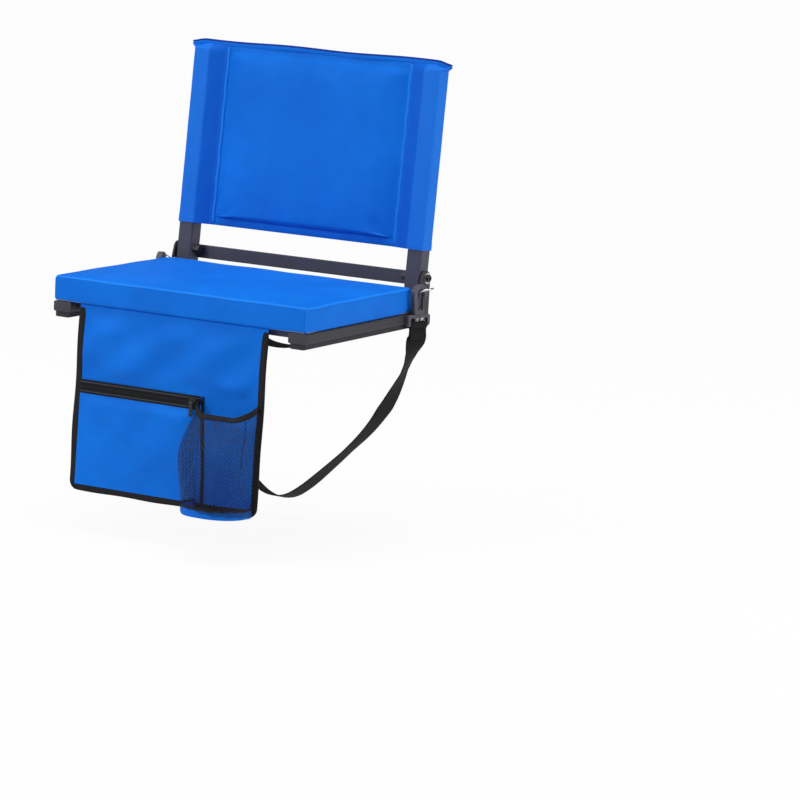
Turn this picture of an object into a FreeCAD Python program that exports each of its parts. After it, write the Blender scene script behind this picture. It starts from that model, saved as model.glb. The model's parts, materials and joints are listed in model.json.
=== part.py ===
import FreeCAD, Part
import math
import os

# Folding stadium seat. Millimetres, +X to the sitter's left as seen from the front, -Y to the front, +Z up.
# The origin is the middle of the seat on the plane of the bench that its runners rest on.

# Seat and cushion
seat_width = 430.0
seat_depth = 290.0
cushion_height = 37.0
cushion_crown = 4.0
cushion_corner = 7.0
cushion_draw = 1.5
cover_thickness = 1.2
cover_flange = 32.0
board_thickness = 6.0
seat_screw_inset = 55.0
seat_screw_radius = 2.4
seat_screw_head_radius = 4.5
seat_screw_head_height = 3.0
seat_screw_bite = 5.0
access_hole_radius = 6.0

# Rails
rail_width = 30.0
rail_height = 15.0
rail_wall = 1.5
rail_corner = 2.5
rail_tail = 6.0
cross_rail_depth = 20.0
cross_rail_height = 10.0
cross_rail_wall = 1.2
cross_rail_corner = 2.0
front_rail_setback = 20.0
rear_rail_overhang = 3.0
cap_thickness = 4.0
cap_plug = 9.0
plug_clearance = 0.15

# Runners under the rails
runner_height = 8.0
runner_width = 24.0
runner_setback = 2.0
runner_edge = 1.5
runner_screw_inset = 30.0
runner_screw_count = 3
runner_screw_radius = 2.0
runner_screw_head_radius = 4.0
runner_screw_head_height = 2.4
runner_screw_sink = 0.8
runner_screw_tip = 6.0

# Hinge ears and pivots
pivot_setback = 36.0
pivot_rise = 11.0
ear_thickness = 3.0
ear_radius = 10.5
ear_base_front = 33.0
ear_base_rear = 9.0
ear_bottom_margin = 1.0
ear_corner = 4.0
rivet_radius = 3.0
rivet_head_radius = 5.5
rivet_head_height = 2.4
rivet_tail_radius = 4.2
rivet_tail_length = 3.0
rivet_edge = 7.0
rivet_pitch = 14.0
pivot_radius = 4.0
pivot_clearance = 0.05
pivot_head_radius = 5.5
pivot_head_height = 4.0
pivot_head_round = 2.0
pivot_socket_radius = 2.4
pivot_socket_depth = 2.2
pivot_overhang = 1.2
washer_radius = 8.5
inner_washer_radius = 7.6
washer_thickness = 1.6
spacer_radius = 10.0
spacer_thickness = 2.5
side_clearance = 0.1
nut_flats = 13.0
nut_height = 8.0
bush_radius = 6.0
hole_clearance = 0.05

# Back frame, upright about the pivot and then leaned
back_recline = 6.0
post_size = 25.0
post_wall = 1.5
post_corner = 2.5
post_above_pivot = 300.0
post_cap_thickness = 3.0
foot_cap_thickness = 5.0
foot_cap_round = 4.5
foot_stop_gap = 0.2
bar_height = 20.0
bar_thickness = 4.0
bar_drop = 2.5
bar_edge = 1.5

# Back fabric
fabric_start = 40.0
sleeve_fabric = 1.2
sleeve_gap = 0.3
sleeve_roof = 7.0
sleeve_web = 27.4
panel_edge = 1.2
panel_front = 7.0
panel_rear = 5.0
panel_crown = 2.0
panel_border = 22.0
panel_hem = 12.0
panel_side_hem = 2.0
panel_fabric = 1.0
foam_inset = 10.0
top_hem_height = 6.0
top_hem_half = 1.6
top_hem_flare = 12.0

# Hanging pocket
pocket_left_gap = 13.0
pocket_right_gap = 35.0
pocket_drop = 269.0
pocket_corner = 14.0
pocket_hang = 3.0
pocket_setback = 6.0
pocket_thickness = 2.0
pocket_hem_radius = 1.4
hanger_thickness = 1.2
binding_width = 10.0
binding_thickness = 1.2
binding_start = 4.0
seam_clearance = 0.3
zip_drop = 107.0
zip_width = 20.0
zip_side_gap = 1.0
zip_tape_thickness = 1.2
coil_width = 4.0
coil_thickness = 1.8
zip_pocket_bulge = 3.6
zip_pocket_fabric = 1.0
zip_pocket_border = 18.0
slider_length = 12.0
slider_width = 11.0
slider_wall = 1.6
slider_clearance = 0.15
slider_end_gap = 4.0
bail_radius = 0.9
bail_leg_half = 0.6
bail_rise = 2.4
pull_length = 20.0
pull_width = 6.0
pull_thickness = 1.6
pull_eye_radius = 2.2

# Bottle pocket
bottle_width = 98.0
bottle_top_drop = 108.0
bottle_corner_gap = 2.0
bottle_side_gap = 7.0
bottle_round = 42.0
net_thickness = 1.2
net_hem_height = 9.0
net_hem_thickness = 0.8
net_seam_width = 10.0
base_thickness = 3.0

# Shoulder strap, rings and snap hooks
strap_width = 32.0
strap_thickness = 1.6
ring_radius = 13.5
ring_wire_radius = 1.5
ring_tilt = 18.0
ring_hole_radius = 5.0
ring_hole_shift = 1.0
ring_clearance = 0.35
ring_ahead_of_pivot = 20.5
ring_below_pivot = 15.5
hook_yaw = 15.0
hook_drop = 2.8
hook_thickness = 8.0
hook_outer = 13.5
hook_inner = 7.0
hook_base_drop = 30.0
hook_base_thickness = 6.0
hook_nose_drop = 5.0
hook_round = 2.0
hook_flat = 0.1
ledge_round = 1.0
gate_thickness = 1.6
gate_width = 6.0
gate_gap = 0.5
gate_foot = 0.9
anchor_height = 4.0
stem_radius = 2.5
stem_head_radius = 3.6
stem_head_height = 2.5
loop_gap = 0.4
loop_width = 44.0
loop_height = 17.0
loop_bar = 5.0
loop_corner = 4.0
webbing_gap = 0.1
strap_tail = 12.0
handle_rivet_radius = 2.4
handle_rivet_head = 5.0
handle_rivet_height = 2.0
handle_rivet_tail = 2.5

# The bottle bay's reach in front of the pocket from its base to its rim, as (share of the way up, reach)
bottle_profile = [(0.0, 62.0), (0.26, 65.0), (0.513, 66.0), (0.703, 53.0), (0.886, 26.0), (1.0, 14.0)]
lip_share, lip_reach = bottle_profile[-2]

# Route of the strap's right half below the sewn end, as (share of the way out to the hook, height over the
# bench plane), and of the handle's, as (x, height over the rail's underside)
strap_route = [(0.966, -44.0), (0.904, -80.0), (0.811, -120.0), (0.689, -162.0), (0.543, -200.0),
               (0.3925, -234.0), (0.2695, -259.9), (0.169, -272.5), (0.0575, -279.0)]
handle_end_x = 110.0
handle_route = [(90.0, 0.0), (77.3, -20.4), (56.8, -39.5), (31.6, -51.8), (9.9, -55.2)]
bend_share = 0.45

# Places worked out from the sizes above
half_width = seat_width / 2
front_y = -seat_depth / 2
rear_y = seat_depth / 2
rail_bottom = runner_height
rail_top = rail_bottom + rail_height
rail_x = half_width - rail_width / 2
cushion_top = rail_top + cushion_height
pivot_y = rear_y + pivot_setback
pivot_z = cushion_top + pivot_rise
rail_front = front_y + cap_thickness
rail_end = pivot_y + rail_tail
rail_mid_z = rail_bottom + rail_height / 2
post_outer = half_width - spacer_thickness - side_clearance
post_x = post_outer - post_size / 2
post_inner = post_outer - post_size
panel_half = post_inner - sleeve_web
lean_angle = math.radians(back_recline)
foot_depth = pivot_z - rail_top - foot_stop_gap
post_below_pivot = (foot_depth - post_size / 2 * math.sin(lean_angle)) / math.cos(lean_angle)
fabric_top = post_above_pivot + post_cap_thickness + sleeve_gap + sleeve_fabric
hem_start = fabric_top + sleeve_roof
pocket_left = half_width - rail_width - pocket_left_gap
pocket_right = half_width - rail_width - pocket_right_gap
hinge_y = front_y + pocket_setback
hinge_z = rail_top - seam_clearance - pocket_hem_radius
pocket_bottom = hinge_z - pocket_drop
pocket_face = hinge_y - pocket_thickness / 2
binding_face = pocket_face - binding_thickness
zip_left = -pocket_left + binding_width + zip_side_gap
bottle_right = pocket_right - bottle_side_gap
bottle_left = bottle_right - bottle_width
zip_right = bottle_left - zip_side_gap
zip_z = hinge_z - zip_drop - zip_width / 2
coil_face = pocket_face - zip_tape_thickness
ring_x = (half_width - ring_clearance - ring_wire_radius
          + ring_radius * math.cos(math.radians(ring_tilt)))
ring_y = pivot_y - ring_ahead_of_pivot
ring_z = pivot_z - ring_below_pivot
hook_x = ring_x
hook_y = ring_y - ring_radius
hook_z = ring_z - hook_drop
strap_top_z = hook_z - hook_base_drop - loop_gap - loop_height - webbing_gap - strap_thickness - strap_tail


def vector(x, y, z):
    return FreeCAD.Vector(x, y, z)


def on_plane(plane, u, v, w):
    """The point at (u, v) on a plane square to the named axis, w along that axis."""
    places = {"x": (w, u, v), "y": (u, w, v), "z": (u, v, w)}
    return FreeCAD.Vector(*places[plane])


def normal(plane):
    return on_plane(plane, 0, 0, 1)


def line(start, end):
    return Part.LineSegment(start, end).toShape()


def arc(start, middle, end):
    return Part.Arc(start, middle, end).toShape()


def corner_points(before, here, after, radius):
    """Start, middle and end of the arc that rounds one corner of an outline."""
    into = (before - here).normalize()
    out = (after - here).normalize()
    half = into.getAngle(out) / 2
    reach = radius / math.tan(half)
    bisector = (into + out).normalize()
    middle = here + bisector * (radius / math.sin(half) - radius)
    return here + into * reach, middle, here + out * reach


def rounded_wire(plane, corners, w):
    """A closed wire through (u, v, radius) corners, where a radius of 0 leaves the corner sharp."""
    points = [on_plane(plane, u, v, w) for u, v, radius in corners]
    rounds = []
    for i, (u, v, radius) in enumerate(corners):
        after = points[(i + 1) % len(points)]
        if radius > 0:
            rounds.append(corner_points(points[i - 1], points[i], after, radius))
        else:
            rounds.append((points[i], None, points[i]))
    edges = []
    for i, (start, middle, end) in enumerate(rounds):
        if middle is not None:
            edges.append(arc(start, middle, end))
        edges.append(line(end, rounds[(i + 1) % len(rounds)][0]))
    return Part.Wire(edges)


def prism(plane, corners, start, length):
    face = Part.Face(rounded_wire(plane, corners, start))
    return face.extrude(normal(plane) * length)


def rectangle(u0, u1, v0, v1, radius):
    return [(u0, v0, radius), (u1, v0, radius), (u1, v1, radius), (u0, v1, radius)]


def box(x0, x1, y0, y1, z0, z1):
    return Part.makeBox(x1 - x0, y1 - y0, z1 - z0, vector(x0, y0, z0))


def rod(plane, u, v, start, end, radius):
    return Part.makeCylinder(radius, end - start, on_plane(plane, u, v, start), normal(plane))


def tube(plane, u0, u1, v0, v1, wall, radius, start, end):
    outer = prism(plane, rectangle(u0, u1, v0, v1, radius), start, end - start)
    bore = prism(plane, rectangle(u0 + wall, u1 - wall, v0 + wall, v1 - wall, radius - wall / 2),
                 start, end - start)
    return outer.cut(bore)


def mirrored(shape):
    return shape.mirror(vector(0, 0, 0), vector(1, 0, 0))


def lean(shape):
    """Leans an upright piece of the back about the pivot axis."""
    leaned = shape.copy()
    leaned.rotate(vector(0, pivot_y, pivot_z), vector(1, 0, 0), -back_recline)
    return leaned


def hung(shape):
    """The pocket leans a little forward from its sewn top edge."""
    turned = shape.copy()
    turned.rotate(vector(0, hinge_y, hinge_z), vector(-1, 0, 0), pocket_hang)
    return turned


def save(name, *solids):
    shape = solids[0] if len(solids) == 1 else Part.makeCompound(list(solids))
    shape.exportStep(os.path.join("parts", name + ".step"))
    print(name, "solids", len(shape.Solids), "volume", round(shape.Volume), "valid", shape.isValid())


def save_pair(name, right):
    save("right_" + name, right)
    save("left_" + name, mirrored(right))


def runner_screw_places():
    first = front_y + runner_setback + runner_screw_inset
    last = rail_end - runner_setback - runner_screw_inset
    step = (last - first) / (runner_screw_count - 1)
    return [first + step * i for i in range(runner_screw_count)]


def seat_screw_places():
    return [front_y + seat_screw_inset, rear_y - seat_screw_inset]


def rivet_places():
    first = pivot_y - ear_base_front + rivet_edge
    return [first, first + rivet_pitch]


def side_rail():
    rail = tube("y", half_width - rail_width, half_width, rail_bottom, rail_top,
                rail_wall, rail_corner, rail_front, rail_end)
    for y in rivet_places():
        rail = rail.cut(rod("x", y, rail_mid_z, half_width - 2 * rail_wall, half_width,
                            rivet_radius + hole_clearance))
    for y in runner_screw_places():
        rail = rail.cut(rod("z", rail_x, y, rail_bottom, rail_bottom + 2 * rail_wall,
                            runner_screw_radius + hole_clearance))
    for y in seat_screw_places():
        rail = rail.cut(rod("z", rail_x, y, rail_bottom, rail_bottom + 2 * rail_wall, access_hole_radius))
        rail = rail.cut(rod("z", rail_x, y, rail_top - 2 * rail_wall, rail_top,
                            seat_screw_radius + hole_clearance))
    return rail


def rail_cap(flange_start, flange_end, plug_start, plug_end):
    x0 = half_width - rail_width
    flange = prism("y", rectangle(x0, half_width, rail_bottom, rail_top, rail_corner),
                   flange_start, flange_end - flange_start)
    inset = rail_wall + plug_clearance
    plug = prism("y", rectangle(x0 + inset, half_width - inset, rail_bottom + inset, rail_top - inset,
                                rail_corner - inset / 2), plug_start, plug_end - plug_start)
    return flange.fuse(plug).removeSplitter()


def front_cap():
    return rail_cap(front_y, rail_front, rail_front, rail_front + cap_plug)


def rear_cap():
    return rail_cap(rail_end, rail_end + cap_thickness, rail_end - cap_plug, rail_end)


def cross_rail(y0, top):
    x = half_width - rail_width
    return tube("x", y0, y0 + cross_rail_depth, top - cross_rail_height, top,
                cross_rail_wall, cross_rail_corner, -x, x)


def front_cross_rail():
    return cross_rail(front_y + front_rail_setback, rail_top - hanger_thickness)


def rear_cross_rail():
    rail = cross_rail(rear_rail_start(), rail_top)
    bottom = rail_top - cross_rail_height
    for x in handle_rivet_places():
        rail = rail.cut(rod("z", x, rear_rail_middle(), bottom, bottom + 2 * cross_rail_wall,
                            handle_rivet_radius + hole_clearance))
    return rail


def rear_rail_start():
    return rear_y + rear_rail_overhang - cross_rail_depth


def rear_rail_middle():
    return rear_rail_start() + cross_rail_depth / 2


def handle_rivet_places():
    middle = (handle_end_x + handle_route[0][0]) / 2
    return [-middle, middle]


def runner():
    x0 = rail_x - runner_width / 2
    x1 = rail_x + runner_width / 2
    corners = [(x0 + runner_edge, 0, 0), (x1 - runner_edge, 0, 0), (x1, runner_edge, 0),
               (x1, runner_height, 0), (x0, runner_height, 0), (x0, runner_edge, 0)]
    start = front_y + runner_setback
    strip = prism("y", corners, start, rail_end - runner_setback - start)
    seat = runner_screw_sink + runner_screw_head_height
    for y in runner_screw_places():
        strip = strip.cut(rod("z", rail_x, y, 0, seat, runner_screw_head_radius + hole_clearance))
        strip = strip.cut(rod("z", rail_x, y, 0, runner_height, runner_screw_radius + hole_clearance))
    return strip


def runner_screw(y):
    seat = runner_screw_sink + runner_screw_head_height
    head = rod("z", rail_x, y, runner_screw_sink, seat, runner_screw_head_radius)
    shank = rod("z", rail_x, y, seat, runner_height + rail_wall + runner_screw_tip, runner_screw_radius)
    return head.fuse(shank).removeSplitter()


def ring_hole_place():
    """Where the ring's wire crosses the ear's plate, moved a little to the side that the wire bends to."""
    tilt = math.radians(ring_tilt)
    inward = (ring_x - half_width - ear_thickness / 2) / math.cos(tilt)
    y = ring_y + math.sqrt(ring_radius ** 2 - inward ** 2) - ring_hole_shift
    return y, ring_z - inward * math.sin(tilt)


def hinge_ear():
    bottom = rail_bottom + ear_bottom_margin
    top = pivot_z + ear_radius
    round_top = ear_radius - hole_clearance
    corners = [(pivot_y - ear_base_front, bottom, ear_corner), (pivot_y + ear_base_rear, bottom, ear_corner),
               (pivot_y + ear_radius, top, round_top), (pivot_y - ear_radius, top, round_top)]
    plate = prism("x", corners, half_width, ear_thickness)
    end = half_width + ear_thickness
    plate = plate.cut(rod("x", pivot_y, pivot_z, half_width, end, pivot_radius + pivot_clearance))
    for y in rivet_places():
        plate = plate.cut(rod("x", y, rail_mid_z, half_width, end, rivet_radius + hole_clearance))
    y, z = ring_hole_place()
    return plate.cut(rod("x", y, z, half_width, end, ring_hole_radius))


def rivet(y):
    face = half_width + ear_thickness
    inside = half_width - rail_wall
    head = rod("x", y, rail_mid_z, face, face + rivet_head_height, rivet_head_radius)
    head = head.makeFillet(rivet_head_height / 2, [head.Edges[0]])
    shank = rod("x", y, rail_mid_z, inside, face, rivet_radius)
    tail = rod("x", y, rail_mid_z, inside - rivet_tail_length, inside, rivet_tail_radius)
    return head.fuse([shank, tail]).removeSplitter()


def pivot_bolt():
    face = half_width + ear_thickness + washer_thickness
    head = rod("x", pivot_y, pivot_z, face, face + pivot_head_height, pivot_head_radius)
    head = head.makeFillet(pivot_head_round, [head.Edges[0]])
    top = face + pivot_head_height
    socket = hexagon(top - pivot_socket_depth, top, pivot_socket_radius * 2)
    shaft = rod("x", pivot_y, pivot_z, nut_inner_end() - pivot_overhang, face, pivot_radius)
    return head.fuse(shaft).removeSplitter().cut(socket)


def hexagon(x0, x1, flats):
    radius = flats / 2 / math.cos(math.pi / 6)
    corners = []
    for i in range(6):
        angle = math.radians(60 * i)
        corners.append((pivot_y + radius * math.cos(angle), pivot_z + radius * math.sin(angle), 0))
    return prism("x", corners, x0, x1 - x0)


def nut_inner_end():
    return post_inner - side_clearance - washer_thickness - nut_height


def pivot_nut():
    start = nut_inner_end()
    nut = hexagon(start, start + nut_height, nut_flats)
    return nut.cut(rod("x", pivot_y, pivot_z, start, start + nut_height, pivot_radius + pivot_clearance))


def pivot_ring(x0, x1, radius):
    disc = rod("x", pivot_y, pivot_z, x0, x1, radius)
    return disc.cut(rod("x", pivot_y, pivot_z, x0, x1, pivot_radius + pivot_clearance))


def outer_washer():
    face = half_width + ear_thickness
    return pivot_ring(face, face + washer_thickness, washer_radius)


def inner_washer():
    end = post_inner - side_clearance
    return pivot_ring(end - washer_thickness, end, inner_washer_radius)


def pivot_spacer():
    return pivot_ring(half_width - spacer_thickness, half_width, spacer_radius)


def pivot_bush():
    return lean(pivot_ring(post_inner, post_outer, bush_radius))


def seat_outline(inset, z):
    """The cushion in plan: rounded corners and sides that are drawn in between them."""
    hx = half_width - inset
    hy = seat_depth / 2 - inset
    radius = max(cushion_corner - inset, cushion_draw)
    tuck = radius * (1 - math.sqrt(0.5))
    sides = [((-hx + radius, -hy), (0, -hy + cushion_draw), (hx - radius, -hy)),
             ((hx, -hy + radius), (hx - cushion_draw, 0), (hx, hy - radius)),
             ((hx - radius, hy), (0, hy - cushion_draw), (-hx + radius, hy)),
             ((-hx, hy - radius), (-hx + cushion_draw, 0), (-hx, -hy + radius))]
    cx = hx - tuck
    cy = hy - tuck
    corners = [(cx, -cy), (cx, cy), (-cx, cy), (-cx, -cy)]
    edges = []
    for i, (start, middle, end) in enumerate(sides):
        after = sides[(i + 1) % len(sides)][0]
        edges.append(arc(vector(*start, z), vector(*middle, z), vector(*end, z)))
        edges.append(arc(vector(*end, z), vector(*corners[i], z), vector(*after, z)))
    return Part.Wire(edges)


def seat_slab(inset, z0, z1):
    return Part.Face(seat_outline(inset, z0)).extrude(vector(0, 0, z1 - z0))


def crowned_slab(inset, z0, depth_below_top):
    """A slab whose top is a shallow dome, this far below the cushion's own top."""
    top = cushion_top + cushion_crown - depth_below_top
    dome_radius = (half_width ** 2 + cushion_crown ** 2) / (2 * cushion_crown)
    dome = Part.makeSphere(dome_radius, vector(0, 0, top - dome_radius))
    return seat_slab(inset, z0, top + cushion_crown).common(dome)


def cut_seat_screws(shape, z0, z1):
    for x in (-rail_x, rail_x):
        for y in seat_screw_places():
            shape = shape.cut(rod("z", x, y, z0, z1, seat_screw_radius + hole_clearance))
    return shape


def seat_cover():
    cover = crowned_slab(0, rail_top, 0)
    cover = cover.cut(crowned_slab(cover_thickness, rail_top + cover_thickness, cover_thickness))
    cover = cover.cut(seat_slab(cover_flange, rail_top, rail_top + cover_thickness))
    return cut_seat_screws(cover, rail_top, rail_top + cover_thickness)


def seat_board():
    bottom = rail_top + cover_thickness
    return cut_seat_screws(seat_slab(cover_thickness, bottom, bottom + board_thickness),
                           bottom, rail_top + cover_thickness + seat_screw_bite)


def seat_foam():
    return crowned_slab(cover_thickness, rail_top + cover_thickness + board_thickness, cover_thickness)


def seat_screw(x, y):
    under = rail_top - rail_wall
    head = rod("z", x, y, under - seat_screw_head_height, under, seat_screw_head_radius)
    shank = rod("z", x, y, under, rail_top + cover_thickness + seat_screw_bite, seat_screw_radius)
    return head.fuse(shank).removeSplitter()


def back_post():
    half = post_size / 2
    start = pivot_z - post_below_pivot + foot_cap_thickness
    post = tube("z", post_inner, post_outer, pivot_y - half, pivot_y + half,
                post_wall, post_corner, start, pivot_z + post_above_pivot)
    return lean(post.cut(rod("x", pivot_y, pivot_z, post_inner, post_outer, bush_radius + hole_clearance)))


def post_plug(z0, z1):
    inset = post_wall + plug_clearance
    half = post_size / 2 - inset
    return prism("z", rectangle(post_inner + inset, post_outer - inset, pivot_y - half, pivot_y + half,
                                post_corner - inset / 2), z0, z1 - z0)


def post_top_cap():
    half = post_size / 2
    z = pivot_z + post_above_pivot
    lid = prism("z", rectangle(post_inner, post_outer, pivot_y - half, pivot_y + half, post_corner),
                z, post_cap_thickness)
    return lean(lid.fuse(post_plug(z - cap_plug, z)).removeSplitter())


def post_foot_cap():
    """The foot's rear edge meets the rail and stops the back; its front edge is rounded to pass the rail."""
    half = post_size / 2
    bottom = pivot_z - post_below_pivot
    top = bottom + foot_cap_thickness
    corners = [(pivot_y - half, bottom, foot_cap_round), (pivot_y + half, bottom, 0),
               (pivot_y + half, top, 0), (pivot_y - half, top, 0)]
    foot = prism("x", corners, post_inner, post_size)
    return lean(foot.fuse(post_plug(top, top + cap_plug)).removeSplitter())


def lower_cross_bar():
    rear = pivot_y + post_size / 2
    low = pivot_z - bar_drop - bar_height / 2
    corners = rectangle(rear - bar_thickness, rear, low, low + bar_height, bar_edge)
    return lean(prism("x", corners, -post_inner, 2 * post_inner))


def sleeve_corners():
    """The sleeve in plan: round the post, then both layers meet at the panel's stitch line."""
    grow = sleeve_gap + sleeve_fabric
    out = post_outer + grow
    inn = post_inner - grow
    half = post_size / 2 + grow
    seam = panel_half
    return [(out, pivot_y - half, 0), (out, pivot_y + half, 0), (inn, pivot_y + half, 0),
            (seam, pivot_y + panel_edge, 0), (seam, pivot_y - panel_edge, 0), (inn, pivot_y - half, 0)]


def post_sleeve():
    z0 = pivot_z + fabric_start
    z1 = pivot_z + fabric_top
    z2 = pivot_z + hem_start
    tip = post_outer + top_hem_flare
    seam = panel_half
    shoulder = (post_inner + seam) / 2
    ridge = [(tip, pivot_y - top_hem_half, 0), (tip, pivot_y + top_hem_half, 0),
             (shoulder, pivot_y + top_hem_half, 0), (seam, pivot_y + panel_edge, 0),
             (seam, pivot_y - panel_edge, 0), (shoulder, pivot_y - top_hem_half, 0)]
    wires = [rounded_wire("z", sleeve_corners(), z0), rounded_wire("z", sleeve_corners(), z1),
             rounded_wire("z", ridge, z2)]
    outer = Part.makeLoft(wires, True, True)
    half = post_size / 2 + sleeve_gap
    hollow = prism("z", rectangle(post_inner - sleeve_gap, post_outer + sleeve_gap,
                                  pivot_y - half, pivot_y + half, post_corner),
                   z0, post_above_pivot + post_cap_thickness + sleeve_gap - fabric_start)
    return lean(outer.cut(hollow))


def half_lens(place, start, end, border, hem, depth, crown, edge):
    """One face of a padded section: thin at its sewn edges, swollen and crowned between the borders.

    hem is the flat strip kept beside the start, and place turns (along, depth) into a point.
    """
    rise = start + hem
    low = rise + border
    high = end - border
    edges = [line(place(start, 0), place(start, edge)),
             line(place(start, edge), place(rise, edge)),
             line(place(rise, edge), place(low, depth)),
             arc(place(low, depth), place((low + high) / 2, depth + crown), place(high, depth)),
             line(place(high, depth), place(end, edge)),
             line(place(end, edge), place(end, 0)),
             line(place(end, 0), place(start, 0))]
    return Part.Face(Part.Wire(edges))


def half_pad(side, inset, fabric, depth):
    """The front (side -1) or rear (side 1) half of the padded panel, or of the foam inside its fabric."""
    half = panel_half - inset
    z0 = pivot_z + fabric_start + inset
    z1 = pivot_z + hem_start - inset
    edge = panel_edge - fabric / 2
    border = panel_border - inset / 2
    upright = half_lens(lambda a, d: vector(a, pivot_y + side * d, z0), -half, half, border, panel_side_hem,
                        depth - fabric, panel_crown, edge).extrude(vector(0, 0, z1 - z0))
    level = half_lens(lambda a, d: vector(-half, pivot_y + side * d, a), z0, z1, border, panel_hem,
                      depth - fabric, panel_crown, edge).extrude(vector(2 * half, 0, 0))
    return upright.common(level)


def back_layers():
    front_foam = half_pad(-1, foam_inset, panel_fabric, panel_front)
    rear_foam = half_pad(1, foam_inset, panel_fabric, panel_rear)
    front = half_pad(-1, 0, 0, panel_front).cut(front_foam)
    rear = half_pad(1, 0, 0, panel_rear).cut(rear_foam)
    return lean(front), lean(front_foam.fuse(rear_foam).removeSplitter()), lean(rear)


def back_top_hem():
    tip = post_outer + top_hem_flare
    z = pivot_z + hem_start
    corners = [(-tip, z, 0), (tip, z, 0), (tip, z + top_hem_height, top_hem_height / 2),
               (-tip, z + top_hem_height, top_hem_height / 2)]
    return lean(prism("y", corners, pivot_y - top_hem_half, 2 * top_hem_half))


def pocket_hanger():
    y0 = hinge_y + pocket_hem_radius + seam_clearance
    y1 = front_y + front_rail_setback + cross_rail_depth
    return box(-pocket_left, pocket_right, y0, y1, rail_top - hanger_thickness, rail_top)


def pocket_outline(inset, top):
    bottom = pocket_bottom + inset
    radius = max(pocket_corner - inset, 0)
    return [(-pocket_left + inset, top, 0), (-pocket_left + inset, bottom, radius),
            (pocket_right - inset, bottom, radius), (pocket_right - inset, top, 0)]


def pocket_panel():
    sheet = prism("y", pocket_outline(binding_thickness, hinge_z), pocket_face, pocket_thickness)
    hem = rod("x", hinge_y, hinge_z, -pocket_left + binding_thickness, pocket_right - binding_thickness,
              pocket_hem_radius)
    return sheet.fuse(hem).removeSplitter()


def pocket_binding():
    depth = pocket_thickness + 2 * binding_thickness
    top = hinge_z - binding_start
    band = prism("y", pocket_outline(0, top), binding_face, depth)
    band = band.cut(prism("y", pocket_outline(binding_width, top), binding_face, depth))
    return band.cut(pocket_panel())


def zip_tape():
    return box(zip_left, zip_right, coil_face, pocket_face, zip_z - zip_width / 2, zip_z + zip_width / 2)


def zip_coil():
    half = coil_width / 2
    return box(zip_left, zip_right, coil_face - coil_thickness, coil_face, zip_z - half, zip_z + half)


def swollen_sheet(inset, bulge):
    """A pocket front sewn down on all sides and a little swollen, back face on the panel."""
    x0 = zip_left + inset
    x1 = zip_right - inset
    z0 = pocket_bottom + binding_width + zip_side_gap + inset
    z1 = zip_z - zip_width / 2 - inset
    edge = zip_pocket_fabric - inset / 2
    tuck = zip_pocket_border - inset / 2
    back = pocket_face

    def section(place, start, end):
        middle = (start + end) / 2
        edges = [line(place(start, 0), place(start, edge)),
                 line(place(start, edge), place(start + tuck, bulge)),
                 arc(place(start + tuck, bulge), place(middle, bulge + edge), place(end - tuck, bulge)),
                 line(place(end - tuck, bulge), place(end, edge)),
                 line(place(end, edge), place(end, 0)),
                 line(place(end, 0), place(start, 0))]
        return Part.Face(Part.Wire(edges))

    upright = section(lambda a, d: vector(a, back - d, z0), x0, x1).extrude(vector(0, 0, z1 - z0))
    level = section(lambda a, d: vector(x0, back - d, a), z0, z1).extrude(vector(x1 - x0, 0, 0))
    return upright.common(level)


def zip_pocket_front():
    return swollen_sheet(0, zip_pocket_bulge).cut(swollen_sheet(zip_pocket_fabric,
                                                                zip_pocket_bulge - zip_pocket_fabric))


def slider_x():
    return zip_right - slider_end_gap - slider_length / 2


def slider_front():
    return coil_face - slider_clearance - coil_thickness - slider_clearance - slider_wall


def bail_y():
    return slider_front() - bail_rise


def zip_slider():
    x0 = slider_x() - slider_length / 2
    x1 = x0 + slider_length
    half = slider_width / 2
    front = slider_front()
    groove = coil_width / 2 + slider_clearance
    body = prism("y", rectangle(x0, x1, zip_z - half, zip_z + half, slider_wall),
                 front, coil_face - slider_clearance - front)
    body = body.cut(box(x0, x1, front + slider_wall, coil_face, zip_z - groove, zip_z + groove))
    reach = pull_width / 2 + slider_clearance
    bar_half = reach + 2 * bail_radius + slider_clearance
    bar = rod("x", bail_y(), zip_z, slider_x() - bar_half, slider_x() + bar_half, bail_radius)
    legs = []
    for side in (-1, 1):
        x = slider_x() + side * (reach + bail_radius)
        legs.append(box(x - bail_radius, x + bail_radius, bail_y(), front + slider_wall / 2,
                        zip_z - bail_leg_half, zip_z + bail_leg_half))
    return body.fuse([bar] + legs).removeSplitter()


def zip_pull():
    half = pull_width / 2
    x0 = slider_x() - half
    y0 = bail_y() - pull_thickness / 2
    eye = rod("x", bail_y(), zip_z, x0, x0 + pull_width, pull_eye_radius)
    tab = prism("y", rectangle(x0, x0 + pull_width, zip_z - pull_length, zip_z, pull_thickness),
                y0, pull_thickness)
    bore = rod("x", bail_y(), zip_z, x0, x0 + pull_width, bail_radius + pivot_clearance)
    return eye.fuse(tab).removeSplitter().cut(bore)


def bottle_section(z, reach, grow):
    """The bottle pocket in plan: a round-cornered bay in front of the pocket's binding."""
    back = binding_face - seam_clearance / 3
    radius = min(reach - bottle_corner_gap, bottle_round) + grow
    corners = [(bottle_left - grow, back, 0), (bottle_left - grow, back - reach - grow, radius),
               (bottle_right + grow, back - reach - grow, radius), (bottle_right + grow, back, 0)]
    return rounded_wire("z", corners, z)


def bottle_heights():
    """The heights of the bay's base and of its rim at the pocket."""
    return pocket_bottom + base_thickness, hinge_z - bottle_top_drop


def bottle_bay(grow):
    low, top = bottle_heights()
    wires = [bottle_section(low + share * (top - low), reach, grow) for share, reach in bottle_profile]
    return Part.makeLoft(wires, True, False)


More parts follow.
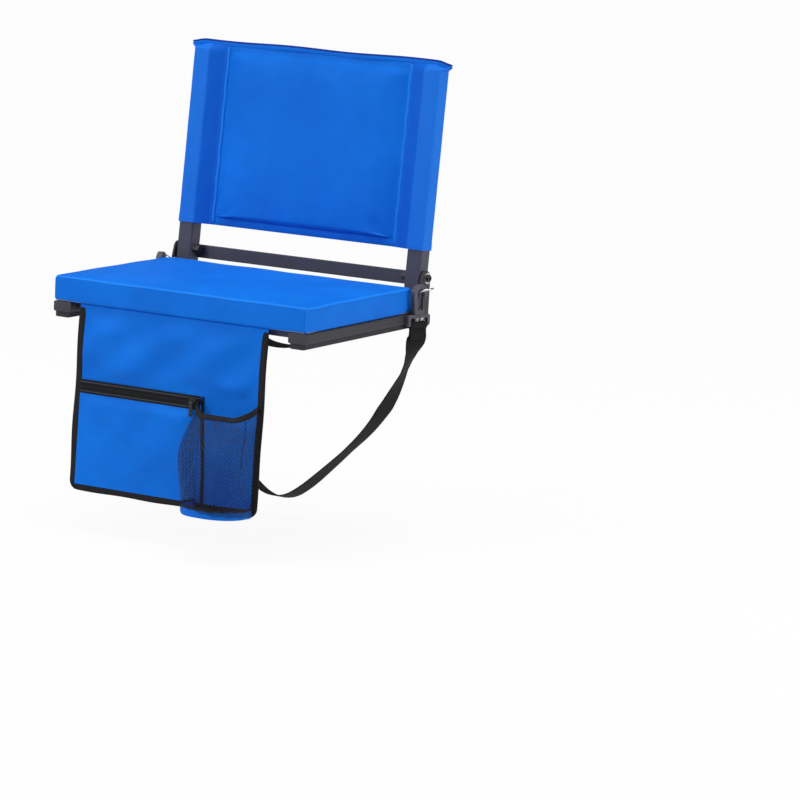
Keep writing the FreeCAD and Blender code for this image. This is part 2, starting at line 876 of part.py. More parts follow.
def below_lip(drop):
    """The space below the bay's slanting lip, or below a line that stays drop under it from back to front."""
    back = binding_face - seam_clearance / 3
    base, rim = bottle_heights()
    top = rim - drop
    low = pocket_bottom - bottle_width
    front = back - bottle_width
    height = rim - base
    wide_share, wide_reach = bottle_profile[-3]
    widening = (wide_reach - lip_reach) / ((lip_share - wide_share) * height)
    slope = (1 - lip_share) * height / (lip_reach + widening * drop)
    corners = [(back, top, 0), (back, low, 0), (front, low, 0), (front, top - slope * (back - front), 0)]
    return prism("x", corners, bottle_left - bottle_width, 3 * bottle_width)


def bottle_net():
    return bottle_bay(0).cut(bottle_bay(-net_thickness)).common(below_lip(net_hem_height))


def bottle_hem():
    band = bottle_bay(net_hem_thickness).cut(bottle_bay(-net_thickness - net_hem_thickness))
    return band.common(below_lip(0)).cut(below_lip(net_hem_height))


def bottle_base():
    outline = bottle_section(pocket_bottom, bottle_profile[0][1], 0)
    return Part.Face(outline).extrude(vector(0, 0, base_thickness))


def bottle_seam_tape():
    back = binding_face - seam_clearance / 3
    return box(bottle_left, bottle_left + net_seam_width, back, pocket_face,
               pocket_bottom + binding_width, hinge_z - bottle_top_drop)


def strap_ring():
    tilt = math.radians(ring_tilt)
    return Part.makeTorus(ring_radius, ring_wire_radius, vector(ring_x, ring_y, ring_z),
                          vector(-math.sin(tilt), 0, math.cos(tilt)))


def hang(shape):
    """Turns a piece modelled about the hook's eye, in the plane square to X, to its place on the ring."""
    placed = shape.copy()
    placed.rotate(vector(0, 0, 0), vector(0, 0, 1), -hook_yaw)
    placed.translate(vector(hook_x, hook_y, hook_z))
    return placed


def anchor_inner():
    return hook_inner - 2 * gate_foot


def snap_hook():
    base = -hook_base_drop
    floor = base + hook_base_thickness
    ledge = floor + anchor_height
    stem_room = stem_head_radius + stem_radius / 2
    inner = anchor_inner()
    anchor = inner + gate_thickness + gate_foot
    spine = stem_room + hook_base_thickness
    outer_arc = hook_outer - hook_flat
    inner_arc = hook_inner - hook_flat
    corners = [(hook_outer, -hook_nose_drop, hook_round), (hook_outer, hook_outer, outer_arc),
               (-hook_outer, hook_outer, outer_arc), (-hook_outer, -hook_inner, hook_inner),
               (-spine, base, hook_round), (anchor, base, hook_round), (anchor, ledge, ledge_round),
               (inner, ledge, ledge_round), (inner, floor, 0), (-stem_room, floor, ledge_round),
               (-hook_inner, -hook_nose_drop, hook_inner), (-hook_inner, hook_inner, inner_arc),
               (hook_inner, hook_inner, inner_arc), (hook_inner, -hook_nose_drop, hook_round)]
    body = prism("x", corners, -hook_thickness / 2, hook_thickness)
    return hang(body.cut(rod("z", 0, 0, base, floor, stem_radius + pivot_clearance)))


def gate_hinge():
    """Middle of the gate's foot, as (u, v) in the hook's plane."""
    ledge = -hook_base_drop + hook_base_thickness + anchor_height
    return anchor_inner() + gate_foot + gate_thickness / 2, ledge + gate_gap + gate_foot


def hook_gate():
    u, v = gate_hinge()
    half = gate_width / 2
    foot = rod("x", u, v, -half, half, gate_foot)
    leaf = prism("x", rectangle(u - gate_thickness / 2, u + gate_thickness / 2, v,
                                -hook_nose_drop - gate_gap, 0), -half, gate_width)
    return hang(foot.fuse(leaf).removeSplitter())


def loop_top():
    return -hook_base_drop - loop_gap


def swivel_loop():
    top = loop_top()
    bottom = top - loop_height
    half = loop_width / 2
    frame = prism("x", rectangle(-half, half, bottom, top, loop_corner), -loop_bar / 2, loop_bar)
    inside = rectangle(-half + loop_bar, half - loop_bar, bottom + loop_bar, top - loop_bar, loop_corner / 2)
    frame = frame.cut(prism("x", inside, -loop_bar / 2, loop_bar))
    head_seat = -hook_base_drop + hook_base_thickness + side_clearance
    stem = rod("z", 0, 0, top - loop_bar / 2, head_seat, stem_radius)
    head = rod("z", 0, 0, head_seat, head_seat + stem_head_height, stem_head_radius)
    return hang(frame.fuse([stem, head]).removeSplitter())


def strap_end():
    """Webbing folded round the loop's lower bar and sewn to itself below it."""
    bottom = loop_top() - loop_height
    inner = loop_bar / 2 + webbing_gap
    outer = inner + strap_thickness
    fold = prism("y", rectangle(-outer, outer, bottom - webbing_gap - strap_thickness,
                                bottom + loop_bar + webbing_gap + strap_thickness, outer / 2),
                 -strap_width / 2, strap_width)
    hole = prism("y", rectangle(-inner, inner, bottom - webbing_gap, bottom + loop_bar + webbing_gap, 0),
                 -strap_width / 2, strap_width)
    low = bottom - webbing_gap - strap_thickness
    tail = box(-strap_thickness, strap_thickness, -strap_width / 2, strap_width / 2, low - strap_tail, low)
    return hang(fold.cut(hole).fuse(tail).removeSplitter())


def band(route, y):
    """A flat webbing band along a route of straight runs joined by tangent arcs, its width along Y."""
    points = [vector(x, y, z) for x, z in route]
    half = strap_thickness / 2
    sides = {1: [], -1: []}
    length = 0.0
    radii = []
    last = points[0]
    for i, here in enumerate(points):
        along = (points[min(i + 1, len(points) - 1)] - points[max(i - 1, 0)]).normalize()
        if i in (0, len(points) - 1):
            for side in sides:
                sides[side].append((here + across(along) * half * side,))
            length += (here - last).Length
            continue
        into = here - points[i - 1]
        out = points[i + 1] - here
        turn = into.getAngle(out)
        radius = bend_share * min(into.Length, out.Length) / math.tan(turn / 2)
        start, middle, end = corner_points(points[i - 1], here, points[i + 1], radius)
        radii.append(round(radius))
        length += (start - last).Length + radius * turn
        last = end
        for side in sides:
            sides[side].append((start + across(into) * half * side, middle + across(along) * half * side,
                                end + across(out) * half * side))
    return band_solid(sides, y, length, radii)


def across(along):
    """The band's thickness direction, square to the way it runs."""
    return vector(-along.z, 0, along.x).normalize()


def band_solid(sides, y, length, radii):
    there = side_edges(sides[1])
    back = side_edges(sides[-1])
    ends = [line(sides[1][-1][0], sides[-1][-1][0]), line(sides[-1][0][0], sides[1][0][0])]
    wire = Part.Wire(Part.sortEdges(there + back + ends)[0])
    solid = Part.Face(wire).extrude(vector(0, strap_width, 0))
    solid.translate(vector(0, -strap_width / 2, 0))
    expected = length * strap_width * strap_thickness
    print("band length", round(length, 1), "volume share", round(solid.Volume / expected, 4), "radii", radii)
    return solid


def side_edges(stops):
    edges = []
    for before, here in zip(stops, stops[1:]):
        edges.append(line(before[-1], here[0]))
        if len(here) == 3:
            edges.append(arc(*here))
    return edges


def both_halves(half_route):
    return half_route + [(-x, z) for x, z in reversed(half_route)]


def shoulder_strap():
    half_route = [(hook_x, strap_top_z)] + [(hook_x * share, z) for share, z in strap_route]
    return band(both_halves(half_route), hook_y)


def handle_level():
    return rail_top - cross_rail_height - strap_thickness / 2


def carry_handle():
    half_route = [(handle_end_x, handle_level())]
    for x, drop in handle_route:
        half_route.append((x, handle_level() + drop))
    handle = band(both_halves(half_route), rear_rail_middle())
    for x in handle_rivet_places():
        handle = handle.cut(rod("z", x, rear_rail_middle(), handle_level() - strap_thickness,
                                handle_level() + strap_thickness, handle_rivet_radius + hole_clearance))
    return handle


def handle_rivet(x):
    y = rear_rail_middle()
    face = handle_level() - strap_thickness / 2
    inside = rail_top - cross_rail_height + cross_rail_wall
    head = rod("z", x, y, face - handle_rivet_height, face, handle_rivet_head)
    shank = rod("z", x, y, face, inside, handle_rivet_radius)
    tail = rod("z", x, y, inside, inside + handle_rivet_tail, handle_rivet_radius + strap_thickness)
    return head.fuse([shank, tail]).removeSplitter()


def with_mirror(solids):
    return solids + [mirrored(solid) for solid in solids]


def save_seat_frame():
    save_pair("side_rail", side_rail())
    save("front_cross_rail", front_cross_rail())
    save("rear_cross_rail", rear_cross_rail())
    save("front_rail_caps", *with_mirror([front_cap()]))
    save("rear_rail_caps", *with_mirror([rear_cap()]))
    save_pair("runner", runner())
    save("runner_screws", *with_mirror([runner_screw(y) for y in runner_screw_places()]))
    save_pair("hinge_ear", hinge_ear())
    save("ear_rivets", *with_mirror([rivet(y) for y in rivet_places()]))


def save_pivots():
    save_pair("pivot_bolt", pivot_bolt())
    save("pivot_washers", *with_mirror([outer_washer(), inner_washer()]))
    save("pivot_spacers", *with_mirror([pivot_spacer()]))
    save("pivot_nuts", *with_mirror([pivot_nut()]))
    save("pivot_bushes", *with_mirror([pivot_bush()]))


def save_cushion():
    save("seat_board", seat_board())
    save("seat_foam", seat_foam())
    save("seat_cover", seat_cover())
    save("seat_screws", *with_mirror([seat_screw(rail_x, y) for y in seat_screw_places()]))


def save_back():
    save_pair("back_post", back_post())
    save("post_top_caps", *with_mirror([post_top_cap()]))
    save("post_foot_caps", *with_mirror([post_foot_cap()]))
    save("lower_cross_bar", lower_cross_bar())
    save_pair("post_sleeve", post_sleeve())
    front, foam, rear = back_layers()
    save("back_front_panel", front)
    save("back_foam", foam)
    save("back_rear_panel", rear)
    save("back_top_hem", back_top_hem())


def save_pocket():
    save("pocket_hanger", pocket_hanger())
    save("pocket_panel", hung(pocket_panel()))
    save("pocket_binding", hung(pocket_binding()))
    save("zip_tape", hung(zip_tape()))
    save("zip_coil", hung(zip_coil()))
    save("zip_pocket_front", hung(zip_pocket_front()))
    save("zip_slider", hung(zip_slider()))
    save("zip_pull", hung(zip_pull()))
    save("bottle_net", hung(bottle_net()))
    save("bottle_hem", hung(bottle_hem()))
    save("bottle_base", hung(bottle_base()))
    save("bottle_seam_tape", hung(bottle_seam_tape()))


def save_carrying():
    save_pair("strap_ring", strap_ring())
    save_pair("snap_hook", snap_hook())
    save_pair("hook_gate", hook_gate())
    save_pair("swivel_loop", swivel_loop())
    save_pair("strap_end", strap_end())
    save("shoulder_strap", shoulder_strap())
    save("carry_handle", carry_handle())
    save("handle_rivets", *[handle_rivet(x) for x in handle_rivet_places()])


def main():
    os.makedirs("parts", exist_ok=True)
    save_seat_frame()
    save_pivots()
    save_cushion()
    save_back()
    save_pocket()
    save_carrying()


main()
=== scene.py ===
# %% [markdown]
# # A folding stadium seat
#
# The seat's frame, hinges and hooks already exist as solids, all in one frame of reference in metres. This
# lesson dresses them: the soft pieces are modelled in place of plain solids, every surface gets a finish
# made of nodes, and a camera and a soft studio show the seat.

# %% Load the solids
import json
from math import copysign, cos, exp, hypot, pi, radians, sin, sqrt
import bpy
import numpy as np
from mathutils import Matrix, Vector


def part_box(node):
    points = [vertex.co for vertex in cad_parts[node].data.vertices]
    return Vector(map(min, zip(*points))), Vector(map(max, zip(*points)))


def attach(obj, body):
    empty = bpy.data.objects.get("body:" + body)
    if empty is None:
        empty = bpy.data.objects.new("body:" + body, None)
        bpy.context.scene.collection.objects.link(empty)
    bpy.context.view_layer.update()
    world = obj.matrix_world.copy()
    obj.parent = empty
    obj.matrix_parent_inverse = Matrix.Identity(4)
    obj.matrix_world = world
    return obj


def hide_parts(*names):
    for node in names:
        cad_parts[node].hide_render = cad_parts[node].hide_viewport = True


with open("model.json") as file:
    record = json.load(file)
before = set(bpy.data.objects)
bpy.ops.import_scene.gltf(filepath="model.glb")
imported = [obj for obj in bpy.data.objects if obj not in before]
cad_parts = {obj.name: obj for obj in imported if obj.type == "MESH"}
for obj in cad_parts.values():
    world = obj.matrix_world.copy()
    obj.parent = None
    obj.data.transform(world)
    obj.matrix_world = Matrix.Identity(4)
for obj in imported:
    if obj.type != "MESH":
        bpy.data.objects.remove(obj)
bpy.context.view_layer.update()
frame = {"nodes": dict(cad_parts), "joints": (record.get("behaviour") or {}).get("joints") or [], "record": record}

nodes = frame["nodes"]
joints = {joint["name"]: joint for joint in frame["joints"]}
print("solids:", len(nodes), "joints:", len(joints))

# %% [markdown]
# ## Camera
# The seat is seen from a little right of its front and slightly above. A long lens keeps its edges almost
# parallel. The camera aims past the rear edge, because the seat stands in the picture's upper left. The
# focal length and the picture's width are in pixels, the other lengths in millimetres.

# %% Camera
mm = 0.001
picture_width, focal_length = 800, 3828
azimuth, elevation, roll = 29.94, 9.78, 2.68
camera_distance = 5673
rear_edge = Vector((0, 145, 60))
turned = Matrix.Identity(3)
for angle, axis in ((azimuth, "Z"), (90 - elevation, "X"), (roll, "Z")):
    turned = turned @ Matrix.Rotation(radians(angle), 3, axis)
right, up, away = turned.col
aim = rear_edge + right * 167.3 - up * 189.8
bpy.ops.object.camera_add()
camera = bpy.context.object
camera.data.lens = focal_length / picture_width * camera.data.sensor_width
camera.matrix_world = Matrix.Translation((aim + away * camera_distance) * mm) @ turned.to_4x4()
camera.data.clip_end = 100
bpy.context.scene.camera = camera
print("lens", round(camera.data.lens, 1), "mm at", [round(v, 2) for v in camera.matrix_world.translation])

# %% [markdown]
# ## Tools for the workshop
# Most soft pieces start as a flat grid whose points are carried to where the cloth lies. Others start as a
# stretched cube. Modifiers are applied at once, so each finished piece is a plain mesh.

# %% Tools
def start_clean():
    if bpy.context.object and bpy.context.object.mode != "OBJECT":
        bpy.ops.object.mode_set(mode="OBJECT")
    bpy.ops.object.select_all(action="DESELECT")


def take(piece):
    start_clean()
    piece.select_set(True)
    bpy.context.view_layer.objects.active = piece


def points_of(piece):
    return np.array([vertex.co for vertex in piece.data.vertices])


def shape_with(piece, kind, **settings):
    """Adds a modifier, sets it and applies it."""
    take(piece)
    modifier = piece.modifiers.new(kind, kind)
    for name, value in settings.items():
        setattr(modifier, name, value)
    bpy.ops.object.modifier_apply(modifier=modifier.name)


def cloth_grid(name, columns, rows, place, size=(1, 1), thick=0):
    """A grid with its point at (u, v) carried to place(u, v), in millimetres. Its UV map is in metres."""
    start_clean()
    bpy.ops.mesh.primitive_grid_add(x_subdivisions=columns, y_subdivisions=rows, size=2)
    piece = bpy.context.object
    piece.name = piece.data.name = name
    for vertex in piece.data.vertices:
        vertex.co = Vector(place((vertex.co.x + 1) / 2, (vertex.co.y + 1) / 2)) * mm
    for loop in piece.data.uv_layers.active.data:
        loop.uv = (loop.uv[0] * size[0] * mm, loop.uv[1] * size[1] * mm)
    if thick:
        shape_with(piece, "SOLIDIFY", thickness=thick * mm, offset=0)
    return piece


def block(name, centre, size):
    """A cube stretched to a size round a centre, both in millimetres."""
    start_clean()
    bpy.ops.mesh.primitive_cube_add(size=1, location=Vector(centre) * mm, scale=Vector(size) * mm)
    piece = bpy.context.object
    piece.name = piece.data.name = name
    bpy.ops.object.transform_apply()
    return piece


def edit(piece):
    """Opens a piece in edit mode with all of it selected."""
    take(piece)
    bpy.ops.object.mode_set(mode="EDIT")
    bpy.ops.mesh.select_all(action="SELECT")


print("pieces are modelled in millimetres and stored in metres, times", mm)

# %% [markdown]
# Dressing a piece gives it its finish, its smooth shading and the body that it moves with. Lines and
# sections of cloth are lists of points, and a few helpers measure along them.

# %% Dressing and measuring
def close_up(piece):
    """Joins the edges that meet and points all faces outwards."""
    edit(piece)
    bpy.ops.mesh.remove_doubles(threshold=0.00002)
    bpy.ops.mesh.normals_make_consistent(inside=False)
    bpy.ops.object.mode_set(mode="OBJECT")
    return piece


def dress(piece, body, finish, stands_for=(), angle=40):
    """Finishes a piece and hands it to its body, in place of the solids that it stands for."""
    take(piece)
    piece.data.materials.clear()
    piece.data.materials.append(finish)
    bpy.ops.object.shade_smooth_by_angle(angle=radians(angle))
    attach(piece, body)
    if stands_for:
        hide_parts(*stands_for)
    return piece


def ease(low, high, value):
    """0 below low, 1 above high and a smooth step between."""
    share = min(max((value - low) / (high - low), 0), 1)
    return share * share * (3 - 2 * share)


def reaches(line):
    """How far along a line each of its points lies."""
    return np.cumsum([0] + [(Vector(b) - Vector(a)).length for a, b in zip(line, line[1:])])


def heading(line, i):
    """The direction of a line at one of its points."""
    return (line[min(i + 1, len(line) - 1)] - line[max(i - 1, 0)]).normalized()


def square_to(run, side):
    """A direction turned square to another one."""
    return (side - run * side.dot(run)).normalized()


def section_point(section, share):
    """The point at a share of the way along a section."""
    reach = reaches(section)
    return [np.interp(share * reach[-1], reach, part) for part in zip(*section)]


sides = ((1, "right"), (-1, "left"))
print("a quarter of the way, a smooth step has risen to", ease(0, 1, 0.25))

# %% [markdown]
# ## Finishes as expressions
# A finish is a small net of nodes. Written out node by node it is hard to read, so one class wraps a node's
# output and lets it be added and multiplied like a number.

# %% Shader expressions
def step(operation, flip=False):
    """A method that does one step of shader arithmetic."""
    def method(shade, *others):
        values = [*others, shade] if flip else [shade, *others]
        return shade.finish.node("Math", dict(enumerate(values)), {"operation": operation})

    return method


class Shade:
    """A number, colour or vector on its way through a finish."""
    __add__ = __radd__ = step("ADD")
    __sub__, __rsub__ = step("SUBTRACT"), step("SUBTRACT", flip=True)
    __mul__ = __rmul__ = step("MULTIPLY")
    __truediv__ = step("DIVIDE")
    sine, size = step("SINE"), step("ABSOLUTE")
    above, larger = step("GREATER_THAN"), step("MAXIMUM")
    bounce = step("PINGPONG")

    def __init__(self, finish, socket):
        self.finish = finish
        self.socket = socket

    def zigzag(self, period):
        """Climbs from 0 to half the period and falls back, over and over."""
        return self.bounce(period / 2)

    def clamped(self):
        return self.finish.node("Clamp", {0: self})


print("a shade knows", [name for name in vars(Shade) if "_" not in name])

# %% [markdown]
# Another class makes the nodes. One method makes a node of any kind and links what goes into it, and the
# others are short ways to the most common ones.

# %% Finishes under construction
class Finish:
    """A material, or the studio's world, under construction."""

    def __init__(self, name, kind="materials"):
        self.material = getattr(bpy.data, kind).new(name)
        self.material.use_nodes = True
        self.tree = self.material.node_tree
        self.tree.nodes.clear()

    def node(self, kind, sockets=None, settings=None, out=0):
        made = self.tree.nodes.new("ShaderNode" + kind)
        for name, value in (settings or {}).items():
            setattr(made, name, value)
        for key, value in (sockets or {}).items():
            if isinstance(value, Shade):
                self.tree.links.new(value.socket, made.inputs[key])
            else:
                made.inputs[key].default_value = value
        return Shade(self, made.outputs[out]) if made.outputs else None

    def parts(self, vector):
        split = self.node("SeparateXYZ", {0: vector})
        return [Shade(self, out) for out in split.socket.node.outputs]

    def place(self):
        return self.node("TexCoord", out="Object")

    def cloth(self):
        """Metres along and across the piece's own cloth."""
        return self.parts(self.node("TexCoord", out="UV"))[:2]

    def noise(self, scale, detail=3, rough=0.5, vector=None):
        return self.node("TexNoise", {"Vector": vector or self.place(), "Scale": scale, "Detail": detail,
                                      "Roughness": rough})

    def mix(self, share, low, high):
        """Between two colours, each a shade or three screen values."""
        low, high = (value if isinstance(value, Shade) else paint(*value) for value in (low, high))
        return self.node("Mix", {0: share, 6: low, 7: high}, {"data_type": "RGBA"}, out=2)

    def bump(self, height, distance, strength=1.0):
        return self.node("Bump", {"Height": height, "Distance": distance, "Strength": strength})

    def surface(self, colour, rough, relief, shine=0.5, more=None):
        sockets = {"Base Color": colour, "Roughness": rough, "Normal": relief, "Specular IOR Level": shine}
        shader = self.node("BsdfPrincipled", sockets | (more or {}))
        self.node("OutputMaterial", {"Surface": shader})
        return self.material


def paint(red, green, blue):
    """A colour from its 0 to 255 screen values."""
    channels = [value / 255 for value in (red, green, blue)]
    return (*[c / 12.92 if c < 0.04045 else ((c + 0.055) / 1.055) ** 2.4 for c in channels], 1)


print("middle grey on the screen is", round(paint(128, 128, 128)[0], 3), "in light")

# %% [markdown]
# ## Cloth finishes
# The cover is coated polyester: a fine square weave with a satin sheen and a slightly cloudy colour. The
# weave multiplies sine waves along the axes, so it needs no unwrapping. Webbing and tapes use their cloth
# map, because their ribs follow their length.

# %% Cloth finishes
weave_pitch, net_hole, strand_from = 1.3, 5.4, 0.385
web_shade_from_seam = 29.5


def coated_polyester(name, light, dark, section=0):
    """Coated cloth. With a section's length it is a sleeve, with painted shade darkening its webs beside the seams
    and painted light over the post.
    """
    finish = Finish(name)
    turn = 2 * pi / (weave_pitch * mm)
    x, y, z = [(part * turn).sine() for part in finish.parts(finish.place())]
    weave = x * y + y * z + z * x
    cloud = finish.noise(11, 4, 0.6)
    slub = finish.noise(420, 2)
    share = cloud * 0.9 + weave * 0.05 + slub * 0.25 - 0.1
    # Painted shade and light: near each seam the sleeve's webs are painted darker, and its faces over the post
    # lighter.
    if section:
        from_seam = finish.cloth()[0].zigzag(section * mm)
        share = share * 0.4 + 0.6 * ((from_seam - web_shade_from_seam * mm) / (2.5 * mm)).clamped()
    relief = finish.bump(weave * 0.4 + slub * 0.8, 0.16 * mm, 0.55)
    return finish.surface(finish.mix(share, dark, light), 0.5 + slub * 0.16, relief, 0.1)


def ribbed_tape(name, light, dark, pitch, lines=()):
    """Black webbing or tape: a herringbone of ribs, with lighter threads at the given places across it."""
    finish = Finish(name)
    along, across = finish.cloth()
    rib = ((along + across.zigzag(8 * mm) * 0.9) * (2 * pi / (pitch * mm))).sine()
    fuzz = finish.noise(600, 2)
    share = rib * 0.22 + fuzz * 0.7
    colour = finish.mix(share, dark, light)
    for place in lines:
        thread = 1 - ((across - place * mm).size()).above(0.55 * mm)
        colour = finish.mix(thread * (0.55 + rib * 0.3), colour, (96, 98, 108))
    relief = finish.bump(rib * 0.6 + fuzz * 0.6, 0.22 * mm, 0.7)
    return finish.surface(colour, 0.62 + fuzz * 0.2, relief, 0.2)


def diamond_net(name):
    """Open netting: black strands crossing on the bias, with nothing in the holes."""
    finish = Finish(name)
    along, across = finish.cloth()
    one = ((along + across * 0.8) / (net_hole * mm)).zigzag(1)
    two = ((along - across * 0.8) / (net_hole * mm)).zigzag(1)
    strand = one.above(strand_from).larger(two.above(strand_from))
    fuzz = finish.noise(900, 2)
    colour = finish.mix(fuzz, (8, 9, 14), (34, 36, 48))
    relief = finish.bump(one.larger(two), 0.4 * mm, 0.6)
    return finish.surface(colour, 0.6 + fuzz * 0.2, relief, 0.3, {"Alpha": strand})


print("threads to the centimetre:", round(10 / weave_pitch, 1))

# %% [markdown]
# Each cloth is given the two colours between which it clouds. Thread and seams catch more light than the
# cloth round them, so they are a little lighter.

# %% Cloth colours
blue = coated_polyester("royal_blue_polyester", (6, 124, 235), (2, 91, 195))
thread = coated_polyester("blue_thread", (52, 146, 244), (26, 122, 230))
seam_blue = coated_polyester("seam_polyester", (30, 134, 238), (14, 112, 220))
webbing = ribbed_tape("black_webbing", (25, 24, 26), (9, 9, 10), 2.4)
binding = ribbed_tape("black_binding", (40, 37, 42), (14, 13, 16), 1.6)
zip_cloth = ribbed_tape("zip_tape_cloth", (30, 30, 35), (12, 12, 15), 1.4, (3.4, 16.6))
net = diamond_net("black_net")
print("cloths:", [cloth.name for cloth in (blue, webbing, binding, zip_cloth, net)])

# %% [markdown]
# ## Hard finishes
# The tubes are powder coated in dark slate: a faint orange peel, a satin gloss and a trace of dust. One
# recipe serves them and the plastic, rubber and plated pieces, with other colours, gloss and grain. Only the
# plywood board has its own.

# %% Hard finishes
def coated(name, light, dark, gloss, grain, depth, metal=0.0, coat=0.0):
    finish = Finish(name)
    cloud = finish.noise(23, 4, 0.6)
    peel = finish.noise(grain, 2)
    rub = (finish.noise(130, 5, 0.75) * 1.6 - 0.75) * cloud
    colour = finish.mix(cloud * 0.7 + rub * 0.5, dark, light)
    relief = finish.bump(peel + rub * 0.3, depth * mm, 0.5)
    return finish.surface(colour, gloss + peel * 0.14 + rub * 0.1, relief, 0.3,
                          {"Metallic": metal, "Coat Weight": coat, "Coat Roughness": 0.3})


def plywood(name):
    finish = Finish(name)
    stretched = finish.node("Mapping", {"Vector": finish.place(), "Scale": (3, 60, 60)})
    grain = finish.noise(3, 6, 0.65, stretched)
    pore = finish.noise(40, 3, 0.6, stretched)
    colour = finish.mix(grain * 1.2 - 0.1, (166, 124, 82), (214, 178, 132))
    return finish.surface(colour, 0.62 + pore * 0.15, finish.bump(pore, 0.2 * mm, 0.5))


hard = {
    "frame_paint": ("slate_powder_coat", (80, 80, 97), (60, 60, 75), 0.4, 700, 0.05),
    # Painted shade: a darker copy of the frame's slate paint for the side rails and hinge ears.
    "shaded_rail_paint": ("shaded_rail_powder_coat", (60, 58, 65), (44, 42, 48), 0.46, 700, 0.05),
    "cap_plastic": ("black_cap_plastic", (74, 72, 83), (50, 49, 58), 0.5, 900, 0.06),
    "hook_plastic": ("grey_hook_plastic", (94, 92, 104), (67, 66, 76), 0.42, 800, 0.05),
    "runner_rubber": ("runner_rubber", (58, 58, 64), (38, 38, 43), 0.66, 500, 0.12),
    "zinc_steel": ("zinc_plate", (208, 208, 204), (170, 170, 168), 0.24, 400, 0.03, 1.0),
    "ring_steel": ("bright_ring_steel", (224, 224, 222), (188, 188, 188), 0.14, 300, 0.02, 1.0),
    "dark_steel": ("blackened_bolt", (70, 70, 76), (42, 42, 47), 0.34, 400, 0.04, 0.6),
    "nylon": ("black_nylon", (56, 56, 60), (36, 36, 40), 0.45, 600, 0.04),
    "zip_metal": ("black_zip_lacquer", (32, 32, 36), (16, 16, 19), 0.3, 500, 0.03, 0.0, 0.2),
    "zip_plastic": ("zip_teeth_plastic", (48, 48, 54), (26, 26, 30), 0.38, 700, 0.03)}
slot_finish = {slot: coated(*recipe) for slot, recipe in hard.items()}
slot_finish |= {"plywood": plywood("seat_plywood"), "foam": blue, "blue_fabric": blue,
                "black_webbing": webbing, "black_binding": binding, "black_net": net}
slots = {part["node"]: part["material_slot"] for part in frame["record"]["subparts"]}
node_finish = {}
for node, slot in slots.items():
    # Side rails and hinge ears take the darker copy of the slate paint, which is painted shade.
    on_rail = node.endswith(("side_rail", "hinge_ear"))
    node_finish[node] = slot_finish["shaded_rail_paint" if on_rail else slot]
    nodes[node].material_slots[0].material = node_finish[node]
print("solids finished:", len(node_finish))

# %% [markdown]
# ## The shoulder strap
# Flat webbing hangs in one slack loop from hook to hook. Its line is a NURBS spline along the strap's route.
# A ribbon five points wide follows that line and is turned a little about it, because hanging webbing never
# lies quite square to its loop.

# %% Webbing
def smooth_line(route):
    """Points along the NURBS spline whose control points are the route."""
    data = bpy.data.curves.new("line", "CURVE")
    data.dimensions = "3D"
    data.resolution_u = 10
    spline = data.splines.new("NURBS")
    spline.points.add(len(route) - 1)
    for point, place in zip(spline.points, route):
        point.co = (*[value * mm for value in place], 1)
    spline.order_u = 3
    spline.use_endpoint_u = True
    carrier = bpy.data.objects.new("line", data)
    mesh = bpy.data.meshes.new_from_object(carrier)
    line = [vertex.co.copy() for vertex in mesh.vertices]
    bpy.data.objects.remove(carrier)
    bpy.data.meshes.remove(mesh)
    return line


def line_length(line):
    return float(reaches(line)[-1])


def hang_webbing(name, line, twist, node):
    """Webbing along a line, its width along Y turned about the line by twist(share) degrees."""
    steps = len(line) - 1
    total = line_length(line)
    reach = reaches(line) / total

    def place(u, v):
        i = round(u * steps)
        run = heading(line, i)
        side = square_to(run, Matrix.Rotation(radians(twist(reach[i])), 3, run) @ Vector((0, 1, 0)))
        return (line[i] + side * strap_width * (v - 0.5) * mm) / mm

    piece = cloth_grid(name, steps, 4, place, (total / mm, strap_width), strap_thickness)
    dress(piece, "seat", webbing, [node], 60)
    print(name, round(total, 3), "m")


def both_halves(half):
    return half + [(-x, y, z) for x, y, z in reversed(half)]


hook = Vector(joints["right_hook_swivel"]["pos_m"]) / mm
strap_width, strap_thickness = 32, 1.6
print("webbing", strap_width, "mm wide from a hook at", [round(value) for value in hook])

# %% [markdown]
# The strap's route is told as shares of the hooks' distance from the middle, each with its height. Its
# twist is told for shares of its length, and is the same on both sides.

# %% Shoulder strap
strap_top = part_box("right_strap_end")[0].z / mm
shares = [(0.966, -38), (0.886, -80), (0.797, -120), (0.665, -162), (0.494, -200),
          (0.334, -234), (0.205, -260), (0.075, -279)]
strap_route = both_halves([(hook.x, hook.y, strap_top)] + [(hook.x * s, hook.y, z) for s, z in shares])
strap_line = smooth_line(strap_route)


def strap_twist(share):
    """How far the webbing is turned about its line, in degrees."""
    turns = {0: 15, 0.01: 32, 0.02: 22, 0.037: 3, 0.06: -10, 0.083: -12, 0.1: -5, 0.136: 7,
             0.172: 15, 0.2: 10, 0.25: 6, 0.3: 2, 0.41: 10, 0.5: 14}
    return np.interp(min(share, 1 - share), list(turns), list(turns.values()))


hang_webbing("hanging_strap", strap_line, strap_twist, "shoulder_strap")

# %% [markdown]
# The carry handle is a shorter loop of the same webbing. It lies flat where it is riveted under the rear
# rail and sags between the rivets.

# %% Carry handle
handle_low, handle_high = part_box("carry_handle")
handle_y = (handle_low.y + handle_high.y) / 2 / mm
handle_z = handle_high.z / mm - strap_thickness / 2
drops = [(110, 0), (90, 0), (77.3, -22.4), (56.8, -44.5), (31.6, -58.8), (9.9, -62.2)]
handle_line = smooth_line(both_halves([(x, handle_y, handle_z + drop) for x, drop in drops]))
hang_webbing("carry_handle_web", handle_line, lambda share: 0, "carry_handle")

# %% [markdown]
# ## Stitches
# Seams show as rows of thread. One stitch is a small stretched ball; a row repeats its mesh along a line.

# %% Stitches
start_clean()
bpy.ops.mesh.primitive_uv_sphere_add(segments=6, ring_count=4, radius=1)
ball = bpy.context.object
stitch_points = points_of(ball)
stitch_faces = [list(face.vertices) for face in ball.data.polygons]
bpy.data.objects.remove(ball)


